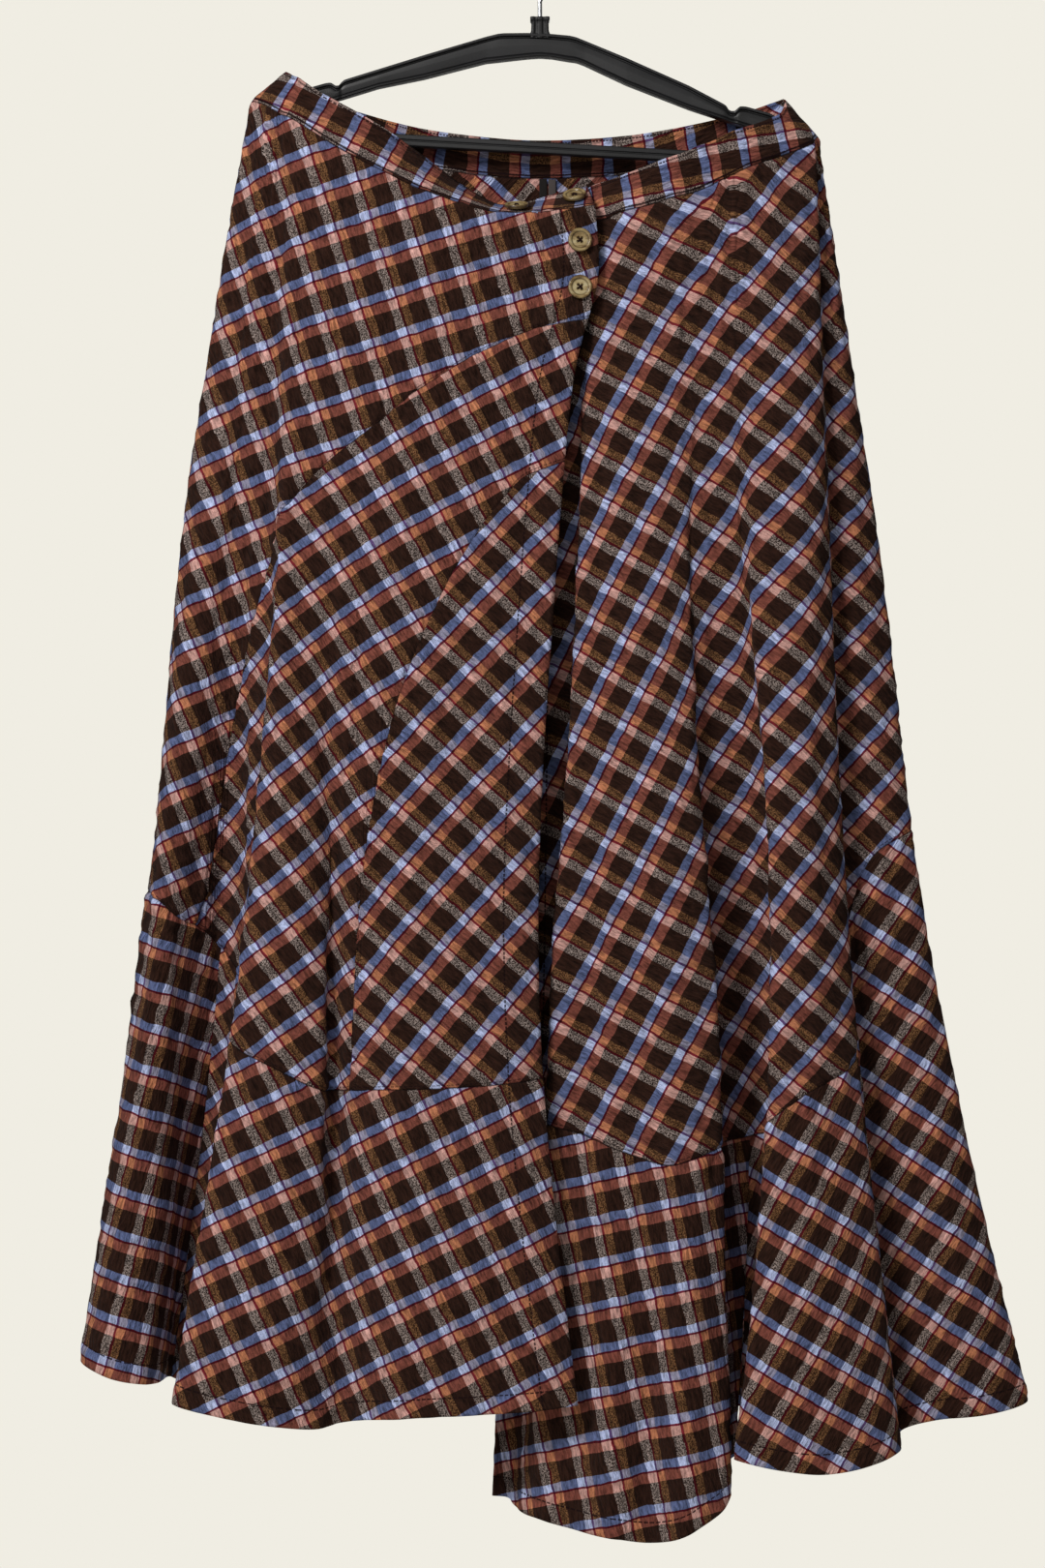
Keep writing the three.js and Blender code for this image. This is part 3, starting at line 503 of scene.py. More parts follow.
def plaid_cotton():
    """Yarn-dyed plaid in brown, blue, rust, grey and ochre with thin burgundy lines. Across the
    blue family a repeat holds blue, burgundy, rust and brown; along it grey, burgundy, ochre and
    brown. Grey and ochre are speckled. The cloth is crinkled in short streaks along the grey
    stripes, bumped and with their light and shade painted into the colour; painted shade makes a
    dark line in the fold of each seam, and dashed stitches run at the edges."""
    m = Nodes("plaid", 0.92, Sheen_Weight=0.02, Sheen_Roughness=0.6, Specular_IOR_Level=0.06)
    at = m.axes(m.uv("cloth"))
    waver = m.axes(m.noise(m.uv("cloth"), 90.0, 4.0, output=1))
    x, y = (m.plus(at[k], m.times(m.math("SUBTRACT", waver[k], 0.5), 0.003)) for k in (0, 1))
    across = m.math("FRACT", m.plus(m.math("DIVIDE", x, GREY_PITCH), GREY_MIDDLE))
    down = m.math("FRACT", m.plus(m.math("DIVIDE", y, -BLUE_PITCH), BLUE_MIDDLE))

    # speckle of the grey and ochre yarns
    fleck = m.above(m.noise(m.join(m.times(x, 1.5), y), 820.0, 2.0, 0.7), 0.5)
    grey = m.mix(fleck, linear(46, 34, 30), linear(166, 150, 144))
    ochre = m.mix(fleck, linear(62, 38, 26), linear(132, 94, 62))

    def row(*colours):
        return m.ramp(across, list(zip((0, GREY_TO, LINE_TO, OCHRE_TO), colours)))

    blue = row(linear(197, 209, 251), linear(92, 70, 118), linear(161, 158, 184), linear(101, 113, 156))
    wine = row(linear(118, 42, 60), linear(72, 11, 25), linear(102, 26, 35), linear(78, 14, 28))
    rust = row(linear(220, 170, 161), linear(130, 40, 50), linear(200, 130, 95), linear(135, 77, 66))
    brown = row(linear(100, 86, 78), linear(76, 16, 24), linear(94, 64, 38), linear(50, 30, 23))
    is_ochre = m.times(m.above(across, LINE_TO), m.below(across, OCHRE_TO))
    brown = m.mix(is_ochre, m.mix(m.below(across, GREY_TO), brown, grey), ochre)
    colour = m.mix(m.above(down, BLUE_TO), blue, wine)
    colour = m.mix(m.above(down, WINE_TO), colour, rust)
    colour = m.mix(m.above(down, RUST_TO), colour, brown)

    # crinkle: short ridges along the grey stripes, bumped and with their light and shade painted into the
    # colour; finer grain of the weave, uneven dye
    crinkle_streak_shade = m.noise(m.join(m.times(x, 5.2), y), 100.0, 3.0, 0.6)
    grain = m.noise(m.join(x, m.times(y, 2.5)), 520.0, 2.0, 0.6)
    # painted shade: the crinkle streaks lighten and darken the colour as light on their ridges would; the
    # grain adds its own tone
    for base, part, share in ((-0.45, crinkle_streak_shade, 2.9), (0.86, grain, 0.28)):
        crinkle_shade_and_grain_tone = m.plus(base, m.times(part, share))
        colour = m.mix(1.0, colour, m.join(crinkle_shade_and_grain_tone, crinkle_shade_and_grain_tone, crinkle_shade_and_grain_tone), "MULTIPLY")

    def stitched(colour, off, run, width, share, thread):
        dash = m.below(m.math("FRACT", m.math("DIVIDE", run, STITCH_PITCH)), STITCH_SHARE)
        on = m.below(m.math("ABSOLUTE", off), width)
        return m.mix(m.times(m.times(on, dash), share), colour, thread)

    # painted shade as a dark line in the fold of each seam, and dashed stitches beside it and along the edges
    seam, hem, facing = (m.axes(m.uv(name)) for name in ("seam", "hem", "facing"))
    beside_seam = m.math("SUBTRACT", seam[1], 0.0026)
    colour = stitched(colour, beside_seam, hem[0], 0.0004, 0.7, linear(34, 16, 18))
    # painted shade: the colour darkened within 0.7 mm of a seam, where its fold falls in shadow
    seam_fold_shade = m.below(m.math("MINIMUM", seam[0], seam[1]), 0.0007)
    colour = m.mix(m.times(seam_fold_shade, 0.65), colour, linear(26, 13, 13))
    for edge in (hem, facing):
        colour = stitched(colour, edge[1], edge[0], 0.0006, 0.9, linear(30, 14, 16))

    normal = m.bump(crinkle_streak_shade, 1.0, 0.0036)
    normal = m.bump(grain, 0.5, 0.0004, normal)
    normal = m.bump(m.wave(m.uv("cloth"), 330.0, "DIAGONAL"), 0.35, 0.00012, normal)
    return m.done(colour, normal)


def horn():
    """Polished horn: olive beige with brown clouds drawn out in one direction, with painted shade
    towards the rim and in the step round the dish, and a fine grain."""
    m = Nodes("horn_button", 0.3, Coat_Weight=0.3, Coat_Roughness=0.12, Specular_IOR_Level=0.5)
    at, disc = m.axes(m.solid()), m.axes(m.uv("disc"))
    drawn = m.join(m.times(at[0], 0.6), at[1], m.times(at[2], 2.0))
    cloud = m.noise(drawn, 120.0, 5.0, 0.62)
    colour = m.ramp(cloud, [(0.34, linear(84, 60, 36)), (0.44, linear(146, 120, 78)),
                            (0.53, linear(190, 168, 120)), (0.7, linear(222, 208, 166))], "LINEAR")
    off = m.math("SQRT", m.plus(m.math("POWER", disc[0], 2.0), m.math("POWER", disc[1], 2.0)))
    # painted shade: darker in the step round the dish and towards the rim
    painted_rim_shade = m.ramp(m.math("DIVIDE", off, 0.009), [
        (0.0, linear(250, 250, 250)), (0.56, linear(244, 244, 244)), (0.66, linear(150, 142, 130)),
        (0.76, linear(232, 228, 220)), (0.9, linear(206, 198, 184)), (0.99, linear(128, 116, 98))],
        "LINEAR")
    grain = m.noise(drawn, 900.0, 2.0)
    return m.done(m.mix(1.0, colour, painted_rim_shade, "MULTIPLY"), m.bump(grain, 0.15, 0.0002),
                  m.plus(0.24, m.times(grain, 0.14)))


def ribbed(name, roughness, shine, vector, scale, direction, dark, pale, strength):
    """Thread or ribbon: fine bands from dark to pale, raised a little."""
    m = Nodes(name, roughness, Specular_IOR_Level=shine)
    bands = m.wave(m.solid() if vector is None else m.uv(vector), scale, direction)
    return m.done(m.ramp(bands, [(0, dark), (1, pale)], "LINEAR"), m.bump(bands, strength, 0.0002))


def moulded_plastic():
    """Black moulded plastic: satin with a fine spark texture and faint dust."""
    m = Nodes("hanger_plastic", 0.42, Specular_IOR_Level=0.5)
    cloud = m.noise(m.solid(), 40.0, 3.0)
    colour = m.ramp(cloud, [(0.3, linear(19, 19, 21)), (0.75, linear(28, 28, 31))], "LINEAR")
    return m.done(colour, m.bump(m.noise(m.solid(), 1400.0), 0.25, 0.0002),
                  m.plus(0.34, m.times(cloud, 0.2)))


def drawn_wire():
    """Zinc-plated steel wire: bright, with fine lines along its length."""
    m = Nodes("hook_wire", 0.28, Metallic=1.0)
    at = m.axes(m.solid())
    lines = m.noise(m.join(m.times(at[0], 9.0), at[1], at[2]), 320.0, 3.0)
    colour = m.ramp(lines, [(0.3, linear(150, 152, 156)), (0.7, linear(198, 200, 204))], "LINEAR")
    return m.done(colour, m.bump(lines, 0.12, 0.0002), m.plus(0.2, m.times(lines, 0.16)))


def studio_floor():
    """Pale matt floor with a faint mottle."""
    m = Nodes("floor", 0.8)
    cloud = m.noise(m.solid(), 3.0, 3.0)
    return m.done(m.ramp(cloud, [(0.3, linear(226, 222, 212)), (0.7, linear(234, 231, 222))], "LINEAR"))


PLAID, HORN, PLASTIC, WIRE, FLOOR = plaid_cotton(), horn(), moulded_plastic(), drawn_wire(), studio_floor()
THREAD = ribbed("thread", 0.85, 0.15, None, 900.0, "DIAGONAL", linear(22, 10, 10), linear(52, 26, 24), 0.5)
BLACK_LABEL, GREY_LABEL = (
    ribbed(name, 0.8, 0.2, "ribbon", 620.0, "Y", dark, pale, 0.6) for name, dark, pale in (
        ("label_black", linear(22, 20, 20), linear(44, 40, 39)),
        ("label_grey", linear(64, 58, 58), linear(104, 96, 94))))


# ---- cloth pieces -------------------------------------------------------------------------

def stations(s0, s1, top, bottom, cell):
    """Positions along the folds for a grid's columns, spread so that the longer of the two edges
    is cut into equal cells, counting the run of the seams up and down."""
    s = np.linspace(s0, s1, 900)
    step = np.max([np.linalg.norm(np.diff(cloth(s, seam_at(table, s)), axis=0), axis=-1)
                   for table in (top, bottom)], axis=0)
    run = np.concatenate([[0], np.cumsum(step)])
    count = max(int(round(run[-1] / cell)), 4)
    return np.interp(np.linspace(0, run[-1], count + 1), run, s)


def lay_flat(points):
    """Flat lay of a cloth grid seen from outside, right and up, in mm. Every strip between two
    columns is laid flat beside the last: it opens by the rate at which the two columns part, and
    steps off by their distance apart at mid height."""
    centre = points.shape[1] // 2
    run = arc(points, 1)
    run = run - run[:, centre:centre + 1]
    down = np.gradient(points, axis=1)
    down /= np.linalg.norm(down, axis=-1, keepdims=True)
    step = np.diff(points, axis=0)
    mean = down[:-1] + down[1:]
    mean /= np.linalg.norm(mean, axis=-1, keepdims=True)
    slip = np.sum(step * mean, -1)
    apart = np.linalg.norm(step - slip[..., None] * mean, axis=-1)
    r = (run[1:] + run[:-1]) / 2
    lean = r - r.mean(1, keepdims=True)
    turn = np.sum(lean * apart, 1) / np.maximum(np.sum(lean * lean, 1), 1e-9)
    middle = apart.mean(1) - turn * r.mean(1)
    slip = slip[:, centre]
    fan = np.concatenate([[0], np.cumsum(turn)])
    half = (fan[1:] + fan[:-1]) / 2
    off = np.stack([middle * np.cos(half) + slip * np.sin(half),
                    middle * np.sin(half) - slip * np.cos(half)], -1)
    start = np.concatenate([[[0, 0]], np.cumsum(off, 0)])
    lay = start[:, None] + run[..., None] * np.stack([np.sin(fan), -np.cos(fan)], -1)[:, None]
    return lay * np.array([-1, 1])


def plaid_map(points, lay, s, v, anchor, angle, behind=False):
    """Turns and moves a flat lay so that its first axis runs along the blue stripes and its zero
    is the crossing of a blue with a grey stripe. At the anchor the blue stripe rises to the right
    by the angle in degrees, as seen level from in front, or from behind for the back."""
    i, j = np.unravel_index(np.argmin(((s - anchor[0]) * 6) ** 2 + ((v - anchor[1]) * 40) ** 2), s.shape)
    i = np.clip(i, 2, len(points) - 3)
    j = np.clip(j, 2, points.shape[1] - 3)
    near = (slice(i - 2, i + 3), slice(j - 2, j + 3))
    seen = points[near][..., [0, 2]] * (-1 if behind else 1, 1)
    a = (lay[near] - lay[i, j]).reshape(-1, 2)
    b = (seen - seen[2, 2]).reshape(-1, 2)
    fit = np.linalg.lstsq(a, b, rcond=None)[0].T
    t = np.radians(angle)
    along = np.linalg.solve(fit, [np.cos(t), np.sin(t)])
    along /= np.linalg.norm(along)
    fine = lay - lay[i, j]
    # the anchor lies between grid points: step to it along the two grid directions
    ds = (anchor[0] - s[i, j]) / max(s[i + 1, j] - s[i, j], 1e-9)
    dv = (anchor[1] - v[i, j]) / max(v[i, j + 1] - v[i, j], 1e-9)
    fine = fine - ds * (lay[i + 1, j] - lay[i, j]) - dv * (lay[i, j + 1] - lay[i, j])
    return fine @ np.array([[along[0], -along[1]], [along[1], along[0]]])


def solid_of(name, points, faces, smooth, material):
    """A mesh object at the origin from points in mm and faces of four corners each."""
    mesh = bpy.data.meshes.new(name)
    mesh.vertices.add(len(points))
    mesh.vertices.foreach_set("co", (np.asarray(points) * MM).ravel())
    mesh.loops.add(faces.size)
    mesh.loops.foreach_set("vertex_index", faces.ravel())
    mesh.polygons.add(len(faces))
    mesh.polygons.foreach_set("loop_start", np.arange(len(faces)) * 4)
    mesh.polygons.foreach_set("loop_total", np.full(len(faces), 4))
    mesh.polygons.foreach_set("use_smooth", np.full(len(faces), smooth))
    mesh.update(calc_edges=True)
    mesh.validate()
    mesh.materials.append(material)
    piece = bpy.data.objects.new(name, mesh)
    bpy.context.scene.collection.objects.link(piece)
    return piece


def new_object(name, points, faces, smooth, nodes, material, body="root"):
    """The same as a piece of the skirt: its body, the part nodes it stands for."""
    piece = solid_of(name, points, faces, smooth, material)
    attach(piece, body)
    if nodes:
        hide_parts(*nodes)
    return piece


def ring_faces(rings, count):
    """Quads between closed rings of points, one after the other."""
    k = np.arange(rings * count).reshape(rings, count)
    k = np.concatenate([k, k[:, :1]], 1)
    return np.stack([k[:-1, :-1], k[:-1, 1:], k[1:, 1:], k[1:, :-1]], -1).reshape(-1, 4)


def wall_faces(m, n):
    """Quads of a closed wall over an m by n grid: the outer sheet, the inner one turned round,
    and the four rims. The first count is that of the two sheets."""
    k = np.arange(m * n).reshape(m, n)
    o, i = k, k + m * n
    sheet = np.stack([k[:-1, :-1], k[1:, :-1], k[1:, 1:], k[:-1, 1:]], -1).reshape(-1, 4)
    rims = [np.stack([o[:-1, 0], i[:-1, 0], i[1:, 0], o[1:, 0]], -1),
            np.stack([o[:-1, -1], o[1:, -1], i[1:, -1], i[:-1, -1]], -1),
            np.stack([o[0, :-1], o[0, 1:], i[0, 1:], i[0, :-1]], -1),
            np.stack([o[-1, :-1], i[-1, :-1], i[-1, 1:], o[-1, 1:]], -1)]
    return np.concatenate([sheet, (sheet + m * n)[:, ::-1]] + rims), 2 * len(sheet)


def set_map(mesh, name, values, inner=None):
    """A UV map from one pair of values for each point of a grid. A wall's inner sheet takes the
    same values, or those given for it."""
    values = values.reshape(-1, 2)
    if len(values) < len(mesh.vertices):
        values = np.concatenate([values, values if inner is None else inner.reshape(-1, 2)])
    corner = np.empty(len(mesh.loops), int)
    mesh.loops.foreach_get("vertex_index", corner)
    mesh.uv_layers.new(name=name).data.foreach_set("uv", values[corner].ravel())


def cloth_piece(name, s0, s1, top, bottom, anchor, angle, behind):
    """A piece of cloth between two seams: the shared surface and its relief at a grid of (s, v),
    with v going straight from the upper seam to the lower, thickened along the normal."""
    band = top is BAND_TOP
    cell = BAND_CELL if band else BACK_CELL if behind else CELL
    columns = stations(s0, s1, top, bottom, cell)
    upper, lower = seam_at(top, columns), seam_at(bottom, columns)
    deep = np.max(lower - upper) * (BAND_HIGH / -BAND_V if band else DROP)
    rows = max(int(round(deep / cell)), 8)
    t = np.linspace(0, 1, rows + 1)
    if not band and rows < 60:      # rows closer at the seams
        t = t - 0.5 * np.sin(2 * np.pi * t) / (2 * np.pi) * 0.9
    elif not band:
        t = t - 0.35 * np.sin(2 * np.pi * t) / (2 * np.pi)
    s = np.repeat(columns[:, None], rows + 1, 1)
    v = upper[:, None] + (lower - upper)[:, None] * t
    smooth = cloth(s, v)
    flat = lay_flat(smooth)
    plaid = plaid_map(smooth, flat, s, v, anchor, angle, behind) * MM
    middle = smooth + normals(smooth) * relief(s, v)[..., None]
    out = normals(middle) * WALL / 2
    points = np.concatenate([(middle + out).reshape(-1, 3), (middle - out).reshape(-1, 3)])
    faces, sheets = wall_faces(*s.shape)
    piece = new_object(name, points, faces, np.arange(len(faces)) < sheets, [name], PLAID)
    # a band is one strip folded along its top edge, so its inner face carries the stripes on
    inner = 2 * plaid[:, :1] - plaid if band else plaid
    far = np.full_like(v, FAR)
    if band:
        high = (v - BAND_V) / -BAND_V * BAND_HIGH
        first, second = high - BAND_STITCH, BAND_HIGH - BAND_STITCH - high
    else:
        first = (1 - v) * DROP - HEM_STITCH if bottom is HEM else far
        second = opening(s, v) - FACING_STITCH if min(s0, LAST - s1) == 0 else far
    above = far if band else (v - upper[:, None]) * DROP
    under = far if bottom is HEM else (lower[:, None] - v) * DROP
    set_map(piece.data, "cloth", plaid, inner)
    set_map(piece.data, "hem", np.stack([girth(s) * MM, first * MM], -1))
    set_map(piece.data, "seam", np.stack([above, under], -1) * MM)
    set_map(piece.data, "facing", np.stack([v * DROP * MM, second * MM], -1))
    cells = np.cross(np.diff(smooth[:, :-1], axis=0), np.diff(smooth[:-1], axis=1))
    area = np.sum(np.linalg.norm(cells, axis=-1)) * MM * MM
    # the flat piece's box at the turn that makes it smallest
    edge = flat.reshape(-1, 2)
    spans = np.array([np.ptp(edge @ np.array([[np.cos(a), -np.sin(a)], [np.sin(a), np.cos(a)]]), axis=0)
                      for a in np.radians(np.arange(0, 180, 3))])
    wide, long = spans[np.argmin(spans[:, 0] * spans[:, 1])] * MM
    return piece, (float(wide), float(long)), float(area)


# name, s0, s1, upper and lower seam, where a blue stripe crosses a grey one (s, v), its rise in
# degrees there, seen from behind, what the piece hangs from
CUTS = [
    ("waistband_right", 0, RIGHT_SIDE, BAND_TOP, WAIST, (6.859, -0.0043), 62, False, "hanger_bar"),
    ("waistband_back", RIGHT_SIDE, LEFT_SIDE, BAND_TOP, WAIST, (20.642, -0.0080), 90, True, "hanger_bar"),
    ("waistband_left", LEFT_SIDE, LAST, BAND_TOP, WAIST, (39.698, -0.0043), 98, False, "hanger_bar"),
    ("right_yoke", 0, RIGHT_SIDE, WAIST, YOKE_SEAM, (7.22, 0.1106), 20, False, "waistband_right"),
    ("crescent_panel", 0, 10.55, YOKE_SEAM, CRESCENT_SEAM, (5.03, 0.3631), 36, False, "right_yoke"),
    ("centre_panel", 0, 3.97, CRESCENT_SEAM, RIGHT_FLOUNCE_SEAM, (2.27, 0.4763), 48, False,
     "crescent_panel"),
    ("right_flounce_front", 0, RIGHT_VALLEY, RIGHT_FLOUNCE_SEAM, HEM, (2.68, 0.8669), 27, False,
     "centre_panel"),
    ("right_flounce_side", RIGHT_VALLEY, RIGHT_SIDE, RIGHT_FLOUNCE_SEAM, HEM, (12.32, 0.825), -18, False,
     "right_yoke"),
    ("back_panel", RIGHT_SIDE, LEFT_SIDE, WAIST, BACK_FLOUNCE_SEAM, (20.2, 0.04), 41, True,
     "waistband_back"),
    ("back_flounce", RIGHT_SIDE, LEFT_SIDE, BACK_FLOUNCE_SEAM, HEM, (20.2, 0.8), 20, True, "back_panel"),
    ("left_front_panel", LEFT_SIDE, LAST, WAIST, LEFT_FLOUNCE_SEAM, (38.98, 0.3675), 62, False,
     "waistband_left"),
    ("left_flounce_side", LEFT_SIDE, LEFT_VALLEY, LEFT_FLOUNCE_SEAM, HEM, (31.56, 0.815), -33, False,
     "left_front_panel"),
    ("left_flounce_front", LEFT_VALLEY, LAST, LEFT_FLOUNCE_SEAM, HEM, (38.28, 0.7525), 15, False,
     "left_front_panel"),
]
SHEETS = [(cloth_piece(*cut), hangs_from) for *cut, hangs_from in CUTS]


# ---- buttons and labels -------------------------------------------------------------------

BUTTON_R, BUTTON_THICK, DISH = 8.9, 3.2, 0.95       # mm, radius, thickness, depth of the dish
HOLE_R, HOLE_SPREAD, WELL = 1.0, 2.0, 1.7           # mm, a hole's radius, its centre, its depth


def seat(s, v, lift):
    """Place and turn of a thing on the cloth: its z along the outward normal by the shortest
    turn, its origin that far off the cloth."""
    side = cloth(s + 0.2, v) - cloth(s - 0.2 if s > 0.2 else 0, v)
    drop = cloth(s, v + 0.004) - cloth(s, v - 0.004)
    n = np.cross(side, drop).ravel()
    n /= np.linalg.norm(n)
    a = np.cross([0, 0, 1], n)
    k = np.array([[0, -a[2], a[1]], [a[2], 0, -a[0]], [-a[1], a[0], 0]])
    return cloth(s, v).ravel() + n * lift, np.eye(3) + k + k @ k / (1 + n[2])


def button(name, s, v, lift):
    """Four-hole button on a polar grid. Going out from the centre, up over the rim and under to
    the back: the dish is flat with a well of smooth walls at each hole, rises in a cosine step to
    the rim, turns over in a quarter ellipse and comes back under, slightly domed."""
    turns = np.linspace(0, 2 * np.pi, 97)[:-1]
    face = np.concatenate([np.linspace(0, 5.2, 46), np.linspace(5.4, 8.2, 16)])
    step = 0.5 - 0.5 * np.cos(np.pi * np.clip((face - 5.6) / 1.5, 0, 1))
    crown = 0.10 * np.sin(np.clip((face - 7.1) / 1.1, 0, 1) * np.pi)
    roll = np.linspace(0, np.pi / 2, 9)[1:]
    bend = 1.5 * (1 - np.cos(roll))
    r = np.concatenate([face, 8.2 + 0.7 * np.sin(roll), BUTTON_R - bend, np.linspace(7.2, 0, 12)])
    h = np.concatenate([BUTTON_THICK - DISH * (1 - step) + crown, BUTTON_THICK - bend,
                        1.7 - 1.55 * np.sin(roll), np.linspace(0.12, 0, 12)])
    radius, angle = np.meshgrid(r, turns, indexing="ij")
    z = np.repeat(h[:, None], len(turns), 1)
    x, y = radius * np.cos(angle), radius * np.sin(angle)
    for quarter in range(4):
        t = np.pi / 2 * (quarter + 0.5)
        away = np.hypot(x - HOLE_SPREAD * np.cos(t), y - HOLE_SPREAD * np.sin(t))
        well = np.clip((HOLE_R + 0.25 - away) / 0.4, 0, 1)
        z[:len(face)] -= (WELL * well * well * (3 - 2 * well))[:len(face)]
    origin, turn = seat(s, v, lift)
    points = np.stack([x, y, z], -1).reshape(-1, 3) @ turn.T + origin
    faces = ring_faces(*z.shape)[:, [0, 3, 2, 1]]
    piece = new_object(name, points, faces, True, [name], HORN)
    set_map(piece.data, "disc", np.stack([x, y], -1) * MM)
    weld(piece)
    stitches(name + "_thread", origin, turn)


def weld(piece):
    """Joins the doubled points at poles and closes the mesh there."""
    shape = bmesh.new()
    shape.from_mesh(piece.data)
    bmesh.ops.remove_doubles(shape, verts=shape.verts, dist=1e-6)
    bmesh.ops.recalc_face_normals(shape, faces=shape.faces)
    shape.to_mesh(piece.data)
    shape.free()


def tube(path, radius, sides):
    """Points and faces of a round tube along a path, mm, with its ends drawn in to a point: a
    circle carried in frames that are turned from one step to the next by the shortest turn."""
    run = np.gradient(path, axis=0)
    run /= np.linalg.norm(run, axis=1, keepdims=True)
    first = np.cross(run[0], [0.3, 0.5, 0.8])
    u = [first / np.linalg.norm(first)]
    for a in run[1:]:
        w = u[-1] - a * np.dot(u[-1], a)
        u.append(w / np.linalg.norm(w))
    u = np.array(u)
    w = np.cross(run, u)
    angle = np.linspace(0, 2 * np.pi, sides + 1)[:-1]
    width = np.full(len(path), radius)
    width[[0, -1]] = radius * 0.05
    ring = path[:, None] + width[:, None, None] * (
        u[:, None] * np.cos(angle)[:, None] + w[:, None] * np.sin(angle)[:, None])
    return ring.reshape(-1, 3), ring_faces(len(path), sides)


def several(parts):
    """Points and faces of several meshes as one."""
    start = np.cumsum([0] + [len(points) for points, _ in parts])
    return (np.concatenate([points for points, _ in parts]),
            np.concatenate([faces + first for first, (_, faces) in zip(start, parts)]))


def stitches(name, origin, turn):
    """Thread of a sewn-on button: two sets of four strands that cross between the opposite holes,
    each strand an arch over the dish whose ends go down into the holes."""
    parts = []
    u = np.linspace(-1, 1, 17)
    along, into_hole = 2.1 * u, 1.2 * np.clip(np.abs(u) - 0.86, 0, 1) / 0.14
    for quarter, lift in ((0, 0.0), (1, 0.32)):
        t = np.pi / 2 * (quarter + 0.5)
        for offset in (-0.45, -0.15, 0.15, 0.45):
            arch = BUTTON_THICK - DISH + (0.42 + lift) * (1 - u**4) - into_hole
            x = along * np.cos(t) - offset * np.sin(t)
            y = along * np.sin(t) + offset * np.cos(t)
            parts.append(tube(np.stack([x, y, arch], -1), 0.25, 6))
    points, faces = several(parts)
    weld(new_object(name, points @ turn.T + origin, faces, True, [], THREAD))


button("button_band", 0.45, -0.0155, 1.35)
button("button_band_inner", 1.76, -0.0087, 2.25)
button("button_upper", 0.434, 0.0281, 1.05)
button("button_lower", 0.383, 0.068, 1.05)


def label(name, s, v, wide, material):
    """Folded woven ribbon inside the back of the band, bowed like a loop: a thin closed wall whose
    middle stands off the cloth by a shallow arch."""
    origin, turn = seat(s, v, -1.55)
    a, b = np.meshgrid(np.linspace(-1, 1, 13), np.linspace(-1, 1, 33), indexing="ij")
    bow = -0.35 * (1 - b * b) - 0.12 * (1 - a * a)
    shape = np.stack([a * wide / 2, b * 8.0, bow], -1)
    edge = 0.35 * (1 - np.maximum(np.abs(a), np.abs(b)) ** 12)
    half = np.stack([0 * a, 0 * a, 0.1 + edge * 0.3], -1)
    faces, sheets = wall_faces(*a.shape)
    points = np.concatenate([shape + half, shape - half]).reshape(-1, 3) @ turn.T + origin
    piece = new_object(name, points, faces, np.arange(len(faces)) < sheets, [name], material)
    set_map(piece.data, "ribbon", shape[..., :2] * MM)


label("label_brand", 20.22, 0.0092, 5.8, BLACK_LABEL)
label("label_size", 20.38, 0.0092, 5.6, GREY_LABEL)


# ---- hanger -------------------------------------------------------------------------------

# Rows across the hanger's arms from end to end. Columns: x, y, z top, z bottom, depth, in mm
ARMS = [
    (-210.8, -1, -119.5, -126.5, 4.4), (-206, -2, -118, -126.6, 6), (-190, -4, -114.5, -126, 8),
    (-168, -4, -107.6, -122, 10), (-159, -3, -105, -120, 11), (-155.5, -3, -104.6, -119, 11),
    (-153.4, -3, -105.6, -118.3, 11), (-151.8, -3, -107, -117.7, 11), (-149.2, -3, -106.8, -116.9, 11),
    (-147.8, -2, -104.6, -116.4, 11), (-145.4, -2, -102.4, -115.6, 11.4), (-120, -2, -94.6, -107.8, 12),
    (-86, -1, -84, -100.6, 13), (-40, 0, -70.2, -88.6, 13), (-31, 0, -68, -87.7, 13),
    (-27, 0, -67.6, -87.2, 13), (-9, 0, -67.4, -85.2, 13), (0, 0, -67.8, -84.6, 13),
    (9, 0, -68.2, -85.2, 13), (22, 0, -69.4, -87.4, 13),
    (27, 0, -70.6, -88, 13), (33, 0, -73.0, -90.2, 13), (64, -1, -86, -105, 13), (111, -2, -107, -123.6, 12),
    (136.4, -3, -120.6, -132.2, 12), (138.4, -3, -122, -132.9, 11.6), (140, -3, -124.9, -133.6, 11),
    (141.8, -3, -125.7, -134.2, 11), (144.6, -3, -125.7, -135, 11), (146.4, -4, -124, -135.6, 11),
    (148.4, -4, -122.3, -136.2, 11),
    (153, -4, -122.6, -137.6, 11), (170, -5, -127.4, -143, 10), (187, -5, -136, -149, 8),
    (199, -3, -144.6, -153.4, 6), (203.4, -3, -148, -154.6, 4.4)]
BAR = [
    (-163, -3, -121.7, -131.5, 7), (-156, -2, -126, -138, 7.6), (-143, -1, -138.5, -147.5, 8),
    (-136, 0, -140.1, -149.1, 8), (138, -1, -155.9, -164.4, 8), (146, -1, -154.5, -163.5, 8),
    (159, -3, -144.5, -155.5, 7.6), (165, -4, -141.9, -152, 7)]
# and up the neck: z, half width, half depth
NECK = [(-71, 7.6, 6.3), (-67.5, 7.4, 6.4), (-66, 6.6, 6.2), (-58.4, 6.4, 6.0), (-57.6, 7.4, 6.8),
        (-55.6, 7.4, 6.8), (-55.0, 6.9, 6.4)]


def rounded(corners, radius=0.55):
    """Closed outline with each corner turned in a quarter curve of four points."""
    before, after = np.roll(corners, 1, 0) - corners, np.roll(corners, -1, 0) - corners
    reach = lambda d: d / np.linalg.norm(d, axis=1, keepdims=True) * np.minimum(
        radius, 0.45 * np.linalg.norm(d, axis=1, keepdims=True))
    a, b = corners + reach(before), corners + reach(after)
    t = np.linspace(0, 1, 4)[None, :, None]
    return ((1 - t) ** 2 * a[:, None] + 2 * t * (1 - t) * corners[:, None] + t**2 * b[:, None]).reshape(-1, 2)


